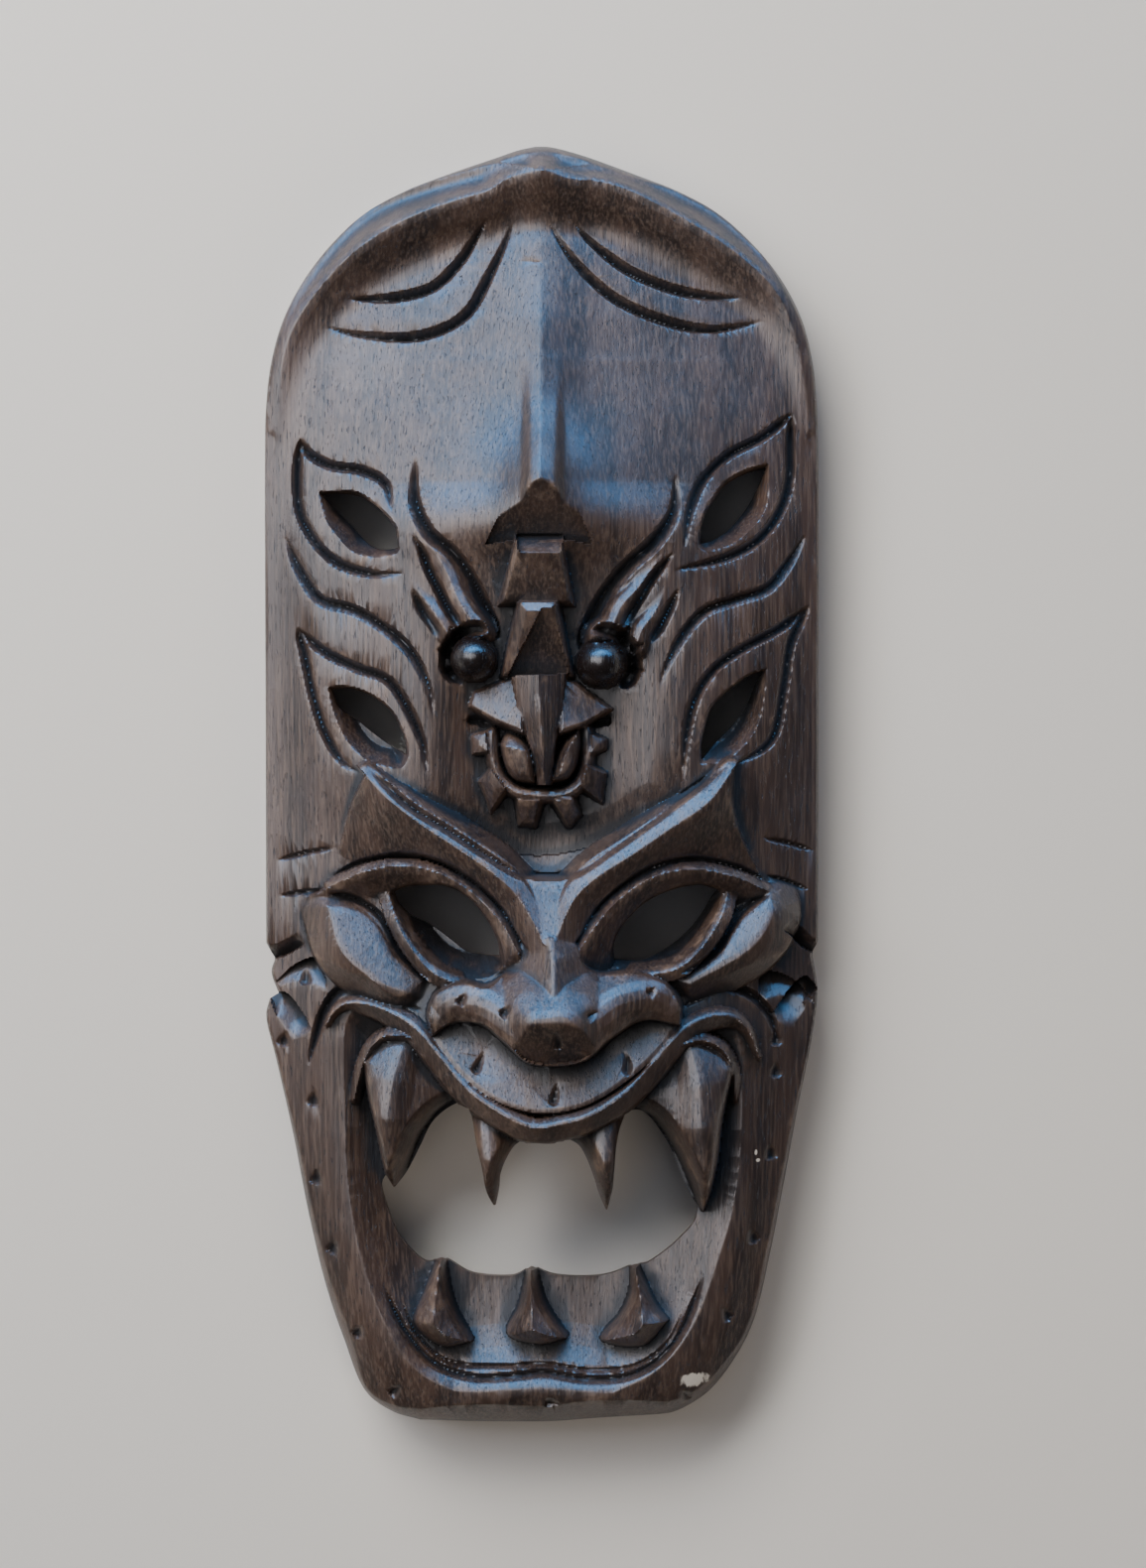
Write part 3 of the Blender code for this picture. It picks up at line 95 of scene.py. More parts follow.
def loop(*sides):
    """Smooth lines joined end to end at corners into a closed outline."""
    return np.vstack([curve(*side)[:-1] for side in sides])


def nearest(x, y, line, closed=False):
    """Distance, share of the way along and side (+1 on the left of travel) of a line's nearest point."""
    a = line
    b = np.roll(line, -1, axis=0)
    if not closed:
        a, b = a[:-1], b[:-1]
    d = b - a
    length = np.hypot(d[:, 0], d[:, 1])
    start = np.concatenate([[0], np.cumsum(length)])
    middle = 0.5 * (a + b)
    dist, share, side = np.empty((3, len(x)))
    tile = np.floor(x / TILE).astype(int) * 1000 + np.floor(y / TILE).astype(int)
    order = np.argsort(tile, kind="stable")
    cuts = np.flatnonzero(np.diff(tile[order])) + 1
    for i in np.split(order, cuts):
        if not len(i):
            continue
        cx, cy = x[i].mean(), y[i].mean()
        away = np.hypot(middle[:, 0] - cx, middle[:, 1] - cy) - 0.5 * length
        k = np.flatnonzero(away < (away + length).min() + 1.5 * TILE)
        px, py = x[i, None] - a[k, 0], y[i, None] - a[k, 1]
        dx, dy = d[k, 0], d[k, 1]
        t = np.clip((px * dx + py * dy) / length[k] ** 2, 0, 1)
        ex, ey = px - t * dx, py - t * dy
        sq = ex * ex + ey * ey
        best = sq.argmin(axis=1)
        rows = np.arange(len(i))
        dist[i] = np.sqrt(sq[rows, best])
        share[i] = (start[k[best]] + t[rows, best] * length[k[best]]) / start[-1]
        side[i] = np.sign(dx[best] * py[rows, best] - dy[best] * px[rows, best])
    return dist, share, side


def inside(x, y, line):
    """Distance to a closed outline, positive inside it."""
    dist, _, _ = nearest(x, y, line, closed=True)
    within = np.zeros(len(x), bool)
    for (x1, y1), (x2, y2) in zip(line, np.roll(line, -1, axis=0)):
        if y1 != y2:
            i = np.flatnonzero((y >= min(y1, y2)) & (y < max(y1, y2)))
            within[i] ^= x[i] < (x2 - x1) * (y[i] - y1) / (y2 - y1) + x1
    return np.where(within, dist, -dist)


def soft_max(a, b, k):
    if not k:
        return np.maximum(a, b)
    h = np.clip(0.5 + 0.5 * (a - b) / k, 0, 1)
    return b + (a - b) * h + k * h * (1 - h)


def soft_min(a, b, k):
    return -soft_max(-a, -b, k)


class Block:
    """The front of the block: a height for each point of the plan, worked like wood."""

    def __init__(self, x, y):
        self.x, self.y = x, y
        self.z = np.zeros(len(x))

    def around(self, line, reach):
        lo, hi = line.min(0) - reach, line.max(0) + reach
        return np.flatnonzero((self.x > lo[0]) & (self.x < hi[0]) & (self.y > lo[1]) & (self.y < hi[1]))

    def sweep(self, line, heights, section, how="max", soft=0.0, width=None, cut=False):
        """A section moved along a line. section is (offset, drop) pairs, with offsets positive on the left
        of travel. heights are absolute and evenly spaced along the line, and so is width, which scales the
        offsets. cut stops it square at the line's ends."""
        s = np.array(section, float)
        widest = max(width) if width is not None else 1.0
        reach = np.abs(s[:, 0]).max() * widest
        i = self.around(line, reach)
        dist, share, side = nearest(self.x[i], self.y[i], line)
        across = dist * np.where(side == 0, 1, side)
        if width is not None:
            across = across / np.maximum(along(share, width), 1e-3)
        keep = (across >= s[0, 0]) & (across <= s[-1, 0])
        if cut:
            keep &= (share > 0) & (share < 1)
        i, share, across = i[keep], share[keep], across[keep]
        top = along(share, heights) + np.interp(across, s[:, 0], s[:, 1])
        z = self.z[i]
        self.z[i] = soft_max(z, top, soft) if how == "max" else soft_min(z, top, soft)

    def groove(self, line, width, depth, lean=0.0, ends=(0.3, 0.3), flat=0.0):
        """A knife or gouge cut into the surface that is there, thinning out at its ends.
        lean from -1 to 1 moves the bottom to the right or left side, and flat is the share of the width
        that is flat."""
        i = self.around(line, width)
        dist, share, side = nearest(self.x[i], self.y[i], line)
        full = np.minimum(swell(share, ends[0]), swell(1 - share, ends[1]))
        half = 0.5 * width * (0.25 + 0.75 * full)
        across = dist * side
        bottom = lean * half
        wall = np.where(across > bottom, half - bottom, half + bottom)
        u = np.abs(across - bottom) / np.maximum(wall, 1e-3)
        shape = np.clip((1 - u) / (1 - flat), 0, 1)
        self.z[i] -= depth * full * shape

    def step(self, line, reach, depth, side=1, ends=(0.0, 0.0)):
        """A stop cut along a line, and the wood beside it on one side pared down to its foot."""
        i = self.around(line, reach)
        dist, share, where = nearest(self.x[i], self.y[i], line)
        full = np.minimum(swell(share, ends[0]), swell(1 - share, ends[1]))
        u = np.clip(1 - dist / reach, 0, 1) * (where * side > 0) * (share > 0) * (share < 1)
        self.z[i] -= depth * full * u

    def plate(self, outline, top, edge, how="max", soft=0.0):
        """A face inside a closed outline. top(x, y) gives its height and edge is (distance inside, drop)
        pairs. A raised face has a steep wall outside its edge."""
        e = np.array(edge, float)
        if how == "max":
            e = np.vstack([[e[0, 0] - WALL_FOOT, e[0, 1] - 9.0], e])
        i = self.around(outline, max(-e[0, 0], 0) + 0.01)
        d = inside(self.x[i], self.y[i], outline)
        keep = d >= e[0, 0]
        i, d = i[keep], d[keep]
        face = top(self.x[i], self.y[i]) + np.interp(d, e[:, 0], e[:, 1])
        z = self.z[i]
        self.z[i] = soft_max(z, face, soft) if how == "max" else soft_min(z, face, soft)

    def facet(self, outline, line, heights, section, soft=0.0):
        """A face inside a closed outline whose height falls with the distance from a line."""
        e = np.array(section, float)
        i = self.around(outline, WALL_FOOT)
        d = inside(self.x[i], self.y[i], outline)
        i, d = i[d > -WALL_FOOT], d[d > -WALL_FOOT]
        dist, share, _ = nearest(self.x[i], self.y[i], line)
        face = along(share, heights) + np.interp(dist, e[:, 0], e[:, 1])
        face += 9.0 / WALL_FOOT * np.minimum(d, 0)
        self.z[i] = soft_max(self.z[i], face, soft)

    def dome(self, centre, radius, rise, top):
        """A rounded lump, joined on with its top at that height."""
        cx, cy = centre
        i = np.flatnonzero((np.abs(self.x - cx) < radius) & (np.abs(self.y - cy) < radius))
        r = 1 - ((self.x[i] - cx) / radius) ** 2 - ((self.y[i] - cy) / radius) ** 2
        i, r = i[r > 0], r[r > 0]
        self.z[i] = np.maximum(self.z[i], top - rise + rise * np.sqrt(r))


def swell(t, share):
    return np.ones_like(t) if share <= 0 else np.sin(0.5 * np.pi * np.clip(t / share, 0, 1))


def along(share, values):
    values = np.atleast_1d(values)
    return np.interp(share, np.linspace(0, 1, len(values)), values)


def slope(p, q, r):
    """The plane through three points (x, y, z), as a height for any x and y."""
    p, q, r = (np.array(v, float) for v in (p, q, r))
    n = np.cross(q - p, r - p)
    return lambda x, y: p[2] - (n[0] * (x - p[0]) + n[1] * (y - p[1])) / n[2]


OUTLINE = loop(
    [(-2, 179.8), (2, 179.7), (8, 178.3), (14, 176.4), (27, 171.6), (38, 167.3), (49, 161.3), (59, 152.6),
     (67.2, 142.6), (73.2, 131), (76.2, 119), (77.5, 106), (77.9, 90), (77.9, 20), (77.8, -44)],
    [(77.8, -44), (76.1, -47.8)],
    [(76.1, -47.8), (77.6, -57.9), (76.1, -71.2), (72, -91.5), (68.4, -110.9), (64.5, -131), (59.6, -151.2),
     (54.6, -161.3), (46.6, -171.4), (37.3, -176.9), (32.9, -177.7)],
    [(32.9, -177.7), (14.2, -178.8), (3.3, -179.6), (-15, -179.7), (-34.6, -179.2)],
    [(-34.6, -179.2), (-42.2, -176.9), (-49.7, -171.4), (-56, -156.3), (-61.1, -141.1), (-65.9, -121),
     (-70.3, -98.6), (-74.9, -78.3), (-77.9, -65), (-76.9, -60.5)],
    [(-76.9, -60.5), (-74.4, -59)],
    [(-74.4, -59), (-76.4, -52.9), (-75.4, -49.3)],
    [(-75.4, -49.3), (-77.9, -44.7)],
    [(-77.9, -44.7), (-78.1, 20), (-78.3, 90), (-78, 106), (-76.5, 119), (-73.1, 131), (-67.4, 142),
     (-59.6, 152.2), (-50, 161), (-39.3, 167), (-27.7, 171.6), (-13.4, 176.5), (-7, 178.7), (-2, 179.8)],
)

LEFT_EYES = [
    loop([(-62.3, 81.5), (-59.8, 82), (-51.6, 81), (-47.3, 78.4), (-44, 75.4), (-40.9, 71.5),
          (-39.9, 65.6)],
         [(-39.9, 65.6), (-44, 65.2), (-48, 66.7), (-54, 73), (-60, 79), (-62.3, 81.5)]),
    loop([(-59.2, 26.8), (-55, 27), (-50.3, 25.8), (-45.6, 23.4), (-42, 20.2), (-39.4, 16), (-37.8, 11.5),
          (-37.6, 8)],
         [(-37.6, 8), (-42, 10.5), (-47, 14), (-52, 18), (-57, 21.5), (-59.2, 26.8)]),
]
RIGHT_EYES = [
    loop([(63, 89), (60, 88.5), (55, 86.5), (51, 83.7), (48, 79.6), (45.5, 75.4), (44.1, 70.7),
          (43.9, 66.6)],
         [(43.9, 66.6), (48, 68.2), (52, 71), (56, 75.5), (59.5, 81), (63, 89)]),
    loop([(62.2, 31.8), (58, 30.5), (54, 27.7), (50.8, 25.1), (47, 21), (45, 15), (44.2, 10.5),
          (44.4, 6.6)],
         [(44.4, 6.6), (49, 12), (53, 16), (57, 21), (60, 28), (62.2, 31.8)]),
]
FACE_EYES = [
    loop([(-41.5, -30), (-38, -28.5), (-33, -28), (-28, -28), (-24, -29), (-20, -31.5), (-17, -34.5),
          (-14, -39), (-12, -44), (-11.6, -47.7)],
         [(-11.6, -47.7), (-17, -47.5), (-21, -46.8), (-25, -44), (-29, -41), (-33, -38.5), (-37, -36.5),
          (-40.5, -33), (-41.5, -30)]),
    loop([(20, -48.8), (20, -44), (22, -39.5), (25, -36), (29, -32.5), (34, -30), (39, -28.5), (44, -28),
          (49.5, -29.5)],
         [(49.5, -29.5), (48, -31), (45, -36), (41, -41), (37, -44.5), (33, -47), (28, -49), (20, -48.8)]),
]
MOUTH = loop(
    [(-41.2, -112.5), (-38.5, -109.5), (-36.5, -106), (-34, -101), (-31, -95), (-27, -91), (-22.5, -88.3)],
    [(-22.5, -88.3), (-20, -89)],
    [(-20, -89), (-19, -93), (-18, -99), (-16.5, -105), (-15, -113), (-13, -117.5)],
    [(-13, -117.5), (-12, -113), (-11.5, -108), (-9.5, -103), (-7, -99.7), (-2, -98.5), (2, -98.8),
     (7, -99), (10, -100), (12.5, -104), (14.5, -109), (16, -114), (18, -118.5)],
    [(18, -118.5), (19.5, -112), (20, -106), (20.5, -100), (21.5, -95), (23, -91.4)],
    [(23, -91.4), (27, -91), (30, -93), (33, -97), (36, -102), (38.5, -108), (40.5, -113), (43.6, -118.3)],
    [(43.6, -118.3), (43, -122), (38, -128), (32, -133), (29, -134.8), (26, -135)],
    [(26, -135), (24, -135.8), (20, -137.5), (15, -138.5), (3, -138), (-3, -135.5)],
    [(-3, -135.5), (-7, -138), (-10, -138.5), (-20, -137.5), (-26, -134), (-28.3, -133)],
    [(-28.3, -133), (-32, -134.3), (-34.5, -133), (-40.5, -126), (-44, -117), (-45, -112), (-43.6, -109)],
    [(-43.6, -109), (-41.2, -112.5)],
)
HOLES = LEFT_EYES + RIGHT_EYES + FACE_EYES + [MOUTH]

# Heights of the uncarved block: rows down the mask, columns from the middle to the side.
SHARES = (0, 0.2, 0.4, 0.6, 0.8, 1.0)
ROWS = (
    (182, 17, 17, 17, 16, 15, 14.5),
    (170, 19, 17.5, 16, 15, 14, 14.5),
    (160, 17.5, 15.2, 13.8, 13, 12.6, 14.5),
    (150, 19.8, 17.8, 16, 14.4, 13.2, 14.5),
    (140, 22, 20, 18, 16, 14, 14.5),
    (130, 24.2, 22, 20, 17.6, 15, 14.5),
    (118, 26.8, 24.4, 22.2, 19.6, 16.5, 14.5),
    (102, 31, 28, 25.4, 22.3, 18.5, 14.5),
    (84, 40.5, 33.5, 29, 25, 20.3, 14.5),
    (72, 42, 37, 32.5, 27.5, 21.5, 14.5),
    (60, 35, 33, 31.5, 28, 22, 14.5),
    (50, 31, 30.5, 31, 28, 22, 14.5),
    (40, 28, 28.5, 30.5, 28, 22, 14.5),
    (20, 24, 25.5, 30, 28, 22, 14.5),
    (0, 22, 24.5, 29, 27.5, 21, 14.5),
    (-20, 22, 24, 27, 25, 20, 14.5),
    (-50, 36, 33, 29, 26, 20, 14.5),
    (-75, 36, 36, 33, 28, 21, 14.5),
    (-100, 34, 34, 31, 27, 22, 15),
    (-130, 26, 26, 26, 25.5, 23, 15),
    (-160, 26, 26, 26, 25, 22, 15),
    (-181, 24, 24, 23, 21, 18, 15),
)


def block(x, y):
    """Height of the uncarved block, read smoothly between the rows and columns of the table."""
    rows = np.array(ROWS)[::-1]
    ys, table = rows[:, 0], rows[:, 1:]
    row = np.clip(np.searchsorted(ys, y) - 1, 0, len(ys) - 2)
    down = np.clip((y - ys[row]) / (ys[row + 1] - ys[row]), 0, 1)
    u = np.clip(np.abs(x) / side_at(y), 0, 1) * (len(SHARES) - 1)
    column = np.clip(np.floor(u).astype(int), 0, len(SHARES) - 2)

    def across(r):
        r = np.clip(r, 0, len(ys) - 1)
        near = [table[r, np.minimum(np.abs(column + k), len(SHARES) - 1)] for k in (-1, 0, 1, 2)]
        return cubic(near, u - column)

    return cubic([across(row + k) for k in (-1, 0, 1, 2)], down)


def cubic(v, t):
    a, b, c, d = v
    return b + 0.5 * t * (c - a + t * (2 * a - 5 * b + 4 * c - d + t * (3 * b - 3 * c + d - a)))


def side_at(y):
    """Half the width the block's columns are spread over."""
    return np.interp(y, (-180, -171, -161, -151, -131, -111, -91, -71, -58, 100, 111, 131, 151, 161,
                         171, 180),
                     (47, 52, 57, 61, 66, 70, 73.5, 77, 78, 78, 77.5, 75, 66, 62, 58, 56))


def leaf(b, tip, upper, lower):
    """Two knife lines that meet in a point round an eye."""
    for branch in (upper, lower):
        b.groove(curve(tip, *branch), 3.2, 2.9, ends=(0.12, 0.3))


def forehead(b):
    rim_left = curve((0, 171), (-9.6, 169), (-14.8, 165.8), (-23, 163.4), (-31.6, 160.6), (-40, 157),
                     (-52.6, 149), (-62, 139.6), (-70, 128), (-73.5, 116), (-75, 100))
    rim_right = curve((0, 171), (7, 169), (14.6, 168.4), (23, 166.3), (38.8, 158.5), (54.5, 148.5),
                      (66, 137.5), (71.5, 125), (74, 112), (75, 100))
    shape = ((-9, -14), (-1.5, -1.4), (0, 0), (2, -0.6), (6, -2.8), (12, -7.5), (22, -14))
    heights = (24.5, 23, 22.5, 22, 21.5, 20.5, 19, 17.5, 16, 15, 14)
    b.sweep(rim_left, heights, shape, soft=4.5)
    b.sweep(rim_right, heights, [(-o, d) for o, d in shape][::-1], soft=4.5)
    # the keel down the middle: a narrow crest, flat on top towards the dragon
    crest = np.clip(1 - np.abs(b.x + 0.4) / 13, 0, 1) ** 2
    b.z += 2.4 * crest * smooth((b.y - 76) / 8) * smooth((150 - b.y) / 30)
    flat = smooth((6.5 - np.abs(b.x - 0.4)) / 3.5)
    b.z += 2.0 * flat * smooth((b.y - 72) / 8) * smooth((122 - b.y) / 30)
    # the crescents under the rim
    b.groove(curve((-15.5, 158.5), (-19, 153), (-22.7, 147.3), (-30.6, 139.5), (-42, 136.6), (-55, 136.5)),
             3.4, 3.2, lean=0.4, ends=(0.35, 0.35))
    b.groove(curve((-8, 157.7), (-14, 144.2), (-21.6, 131.1), (-33.2, 125.6), (-50, 126), (-61.3, 128.6)),
             3.4, 3.2, lean=0.4, ends=(0.35, 0.4))
    b.groove(curve((8.8, 157.7), (13, 152.9), (24, 144.3), (36.7, 139), (50, 136.8), (56, 136.7)),
             3.4, 3.2, lean=-0.4, ends=(0.35, 0.35))
    b.groove(curve((1.6, 157.8), (9.3, 146.3), (19.9, 136.3), (34.6, 129.7), (47.2, 127.6), (62.3, 130.2)),
             3.4, 3.2, lean=-0.4, ends=(0.35, 0.4))
    b.groove(curve((-6, 146.4), (0, 146)), 1.2, 0.35)


def waves(b):
    leaf(b, (-68, 97), [(-66.4, 93.6), (-59.8, 89.3), (-50, 87.3), (-43.5, 83.4), (-41.7, 75.7)],
         [(-68.8, 85), (-67.7, 75.6), (-63.4, 67.7), (-57.1, 61.7), (-47.3, 58.4), (-38, 58.2)])
    leaf(b, (-68.8, 43.8), [(-61, 37.1), (-51.6, 32.4), (-42.9, 28.9), (-37.5, 21.5), (-33, 11),
                            (-31.8, 3)],
         [(-66.9, 38), (-64, 24.8), (-60, 13), (-55.5, 6), (-51, 3.2)])
    leaf(b, (70.2, 104), [(61.7, 97.2), (51.3, 91.3), (44.2, 83.5), (40.9, 74.7), (39.5, 65)],
         [(69.7, 97), (69.3, 85), (66.3, 75.8), (60.2, 68), (51.3, 63), (36.6, 59)])
    leaf(b, (75, 50.1), [(66, 43.3), (56.4, 38), (48, 32), (42.5, 23.5), (40, 13), (39, 1)],
         [(69.9, 40), (68, 29), (65.1, 14.2), (62.2, 10.2), (54, 5.4)])
    b.groove(curve((-72.4, 69.6), (-68, 59.7), (-62, 51.4), (-52.5, 48.4), (-44, 43.4), (-36.9, 37.1),
                   (-32, 28.3), (-30, 19)), 3.5, 3.0, lean=0.3, ends=(0.2, 0.35))
    b.groove(curve((74.1, 70), (68.8, 61.4), (63.2, 54.7), (54, 51.2), (45.2, 47.8), (39, 40.8), (34.5, 32),
                   (33, 27.4)), 3.5, 3.0, lean=-0.3, ends=(0.2, 0.35))
    # the front lips of the four eye holes, sloping in to the cut-through edge
    for rim in (
        loop([(-62.6, 82), (-51.6, 81.6), (-47.3, 78.8), (-44, 75.8), (-40.4, 71.5), (-39.4, 65)],
             [(-39.4, 65), (-40, 64), (-45, 63), (-49.5, 63.4), (-53.3, 65), (-57.1, 69.2), (-60.1, 73.2),
              (-62.6, 82)]),
        loop([(-59.8, 27.3), (-55, 27.5), (-50.3, 26.3), (-45.6, 24), (-41.5, 20.5), (-39, 16),
              (-37.2, 11.5), (-36.9, 7.8)],
             [(-36.9, 7.8), (-38.7, 4.6), (-44.5, 5.2), (-49, 6.9), (-54.5, 12.3), (-58.4, 21.2),
              (-59.8, 27.3)]),
        loop([(63.6, 89.8), (60, 89), (55, 87), (50.6, 84.2), (47.5, 80), (45, 75.6), (43.6, 70.9),
              (43.3, 66)],
             [(43.3, 66), (45.2, 64.7), (50.1, 65.6), (54.3, 67.6), (60.8, 73.9), (62.8, 78),
              (63.6, 89.8)]),
        loop([(62.8, 32.4), (58, 31), (54, 28.3), (50.4, 25.6), (46.5, 21.3), (44.5, 15), (43.6, 10.5),
              (43.8, 5.4)],
             [(43.8, 5.4), (49.1, 6.1), (54.1, 8.6), (59.9, 15.8), (62.3, 26), (62.8, 32.4)]),
    ):
        i = b.around(rim, 0.5)
        d = inside(b.x[i], b.y[i], rim)
        b.z[i] -= np.interp(d, (0, 0.6, 5), (0, 1.2, 9))
    for p, q in (((-74.5, -21.5), (-58, -17.8)), ((-74, -31.5), (-60, -29.8)),
                 ((76.5, -18.8), (61.5, -15)), ((75, -29.8), (62.5, -25.5))):
        m = ((p[0] + q[0]) / 2, (p[1] + q[1]) / 2 + 0.4)
        b.groove(curve(p, m, q), 1.8, 1.5)


def dragon(b):
    # the long neck coming out of the ridge in three cut steps
    b.plate(loop([(-15.5, 66), (-13, 71), (-10, 76), (-6, 81), (0, 84.5), (6, 80.5), (10.5, 74), (14, 66)],
                 [(14, 66), (8, 67), (0, 67.5), (-9, 67), (-15.5, 66)]),
            slope((0, 84, 45.5), (-12, 67, 34), (12, 67, 34)), ((0, 0), (5, 0)), how="min")
    b.plate(loop([(-6.5, 68), (5, 68)], [(5, 68), (9, 49.3)], [(9, 49.3), (-12, 49.3)],
            [(-12, 49.3), (-6.5, 68)]),
            slope((0, 64, 42.5), (-10, 50, 36), (10, 50, 36)), ((0, -2), (1.2, 0)))
    b.plate(loop([(-7, 69), (6, 69)], [(6, 69), (5, 63)], [(5, 63), (-6, 63)], [(-6, 63), (-7, 69)]),
            slope((0, 63, 42.8), (-6, 68, 35), (6, 68, 35)), ((0, 0), (1, 0)), how="min")
    b.plate(loop([(-6, 50), (4, 50)], [(4, 50), (8.5, 29.8)], [(8.5, 29.8), (-11, 29.8)],
            [(-11, 29.8), (-6, 50)]),
            slope((0, 48, 41.5), (-9, 31, 35), (8, 31, 35)), ((0, -2.5), (2.5, 0)))
    b.plate(loop([(0.2, 48.5), (3, 48.5)], [(3, 48.5), (7.5, 29.7)], [(7.5, 29.7), (-9.3, 29.7)],
                 [(-9.3, 29.7), (0.2, 48.5)]),
            slope((0, 48, 40.5), (-9, 30, 30.5), (8, 30, 30.5)), ((0, 0), (1, 0)), how="min")
    # horns: two strands a side over a valley
    for side, groove_a, valley, one, groove_b, two, outer in (
        (-1, [(-35.2, 90.5), (-35.2, 78), (-31.5, 69.7), (-24.8, 63.7), (-20.5, 58), (-15, 47), (-12, 40)],
         4.4, [(-35, 68), (-30, 64.5), (-26, 58), (-23.5, 52), (-20, 46), (-17, 43)],
         [(-36, 69), (-33.5, 65), (-31.3, 59.5), (-26, 49), (-21.5, 42)],
         [(-37, 58), (-33, 52), (-30, 48), (-26, 42)], [(-36, 54), (-33, 48), (-30, 44), (-27, 39.5)]),
        (1, [(37.4, 86), (36.5, 75), (31, 66.6), (24, 60.3), (17, 51.5), (12.5, 42), (10.5, 37)],
         4.8, [(34, 64), (30, 59), (26, 53.5), (22, 49), (19, 43), (15.5, 41)],
         [(36.4, 64), (31, 57.5), (27.5, 52), (24, 46.5), (21.5, 41.5)],
         [(35, 57), (33, 51), (31, 47), (28, 43), (26, 38)], [(38, 54), (35, 48), (33, 44), (30, 39)]),
    ):
        b.sweep(curve(*one), (31, 32.5, 34, 36, 37.5),
                ((-5, -6.5), (-2, -1.2), (0, 0), (2, -1.2), (5, -6.5)), soft=1.0)
        b.sweep(curve(*two), (29.5, 31, 32.5, 34, 34.5),
                ((-4.5, -6), (-2, -1.2), (0, 0), (2, -1.2), (4.5, -6)), soft=1.0)
        b.groove(curve(*groove_a), valley, 4.2, lean=-0.3 * side, ends=(0.35, 0.1))
        b.groove(curve(*groove_b), 3.2, 3.2, ends=(0.3, 0.2))
        b.groove(curve(*outer), 3.4, 2.6, ends=(0.4, 0.3))
    # sockets, eyes
    for line in ([(-14.5, 42), (-18.5, 43), (-23, 41), (-26, 37), (-26, 32), (-22.5, 27.5)],
                 [(13.5, 42), (17.5, 42.5), (22, 40.8), (25, 36.5), (25.2, 31), (22, 26.5)]):
        b.groove(curve(*line), 4.6, 6, ends=(0.15, 0.15), flat=0.3)
    for line in ([(-25.5, 43.5), (-22.5, 39.5)], [(-29, 37.5), (-25, 36)], [(-28, 30.5), (-24.5, 32)],
                 [(24.5, 44), (21.5, 39.5)], [(28.5, 39), (24.5, 37)], [(28.5, 31), (24.5, 32.5)]):
        b.groove(curve(*line), 3.0, 3.5, ends=(0.7, 0.2))
    for (cx, cy, radius), rise, top in zip(EYEBALLS, (10, 11), (39, 39.5)):
        b.dome((cx, cy), radius, rise, top)
    # cheeks and muzzle
    b.plate(loop([(-9, 29.5), (-19, 25.8)], [(-19, 25.8), (-20.3, 21.5)], [(-20.3, 21.5), (-13, 17.3)],
                 [(-13, 17.3), (-5, 14)], [(-5, 14), (-5, 29.5)], [(-5, 29.5), (-9, 29.5)]),
            slope((-9, 29, 31), (-20, 22, 30.2), (-7, 15, 36.2)), ((0, -1), (0.8, 0)))
    b.plate(loop([(5, 29.5), (9, 28.5), (13, 25.5), (19.4, 20.8)], [(19.4, 20.8), (12.3, 16.5)],
                 [(12.3, 16.5), (5, 14)], [(5, 14), (5, 29.5)]),
            slope((8, 29, 31), (19.5, 21, 30.2), (6, 15, 36.2)), ((0, -1), (0.8, 0)))
    b.plate(loop([(-11, 11), (-9.8, 5), (-7.5, 1.5), (-2.2, 0.6)], [(-2.2, 0.6), (-2.4, 6), (-4.2, 11)],
                 [(-4.2, 11), (-6, 13.5), (-9.5, 14.2), (-11, 11)]),
            lambda x, y: np.minimum(slope((-8, 10, 35.8), (-3, 2, 35.2), (-10, 3, 33.8))(x, y),
                                    35.8 - 0.9 * (y - 10)),
            ((0, -2.5), (1.0, -0.5), (2, 0)))
    b.plate(loop([(10.3, 15.4), (7, 12), (4.7, 7), (3, 1)],
                 [(3, 1), (7, 1.7), (9.3, 5), (10.3, 10), (10.3, 15.4)]),
            slope((8, 14, 34.5), (3, 8, 36), (8, 1, 34)), ((0, -2.5), (1.4, 0)))
    b.sweep(curve((-0.8, 30.2), (-0.4, 20), (0.3, 10), (0.8, -0.5)), (38.5, 39.2, 39.2, 36.5),
            ((-8.6, -13), (-7.4, -4.6), (0, 0), (7.4, -4.6), (8.6, -13)), width=(1, 0.8, 0.45, 0.26),
            cut=True)
    for line in ([(-20.8, 17.6), (-17.5, 17.6), (-13.5, 16.4)], [(19.3, 17.6), (16.5, 17.6), (12, 16)]):
        b.groove(curve(*line), 3.4, 3.2, ends=(0.1, 0.5))
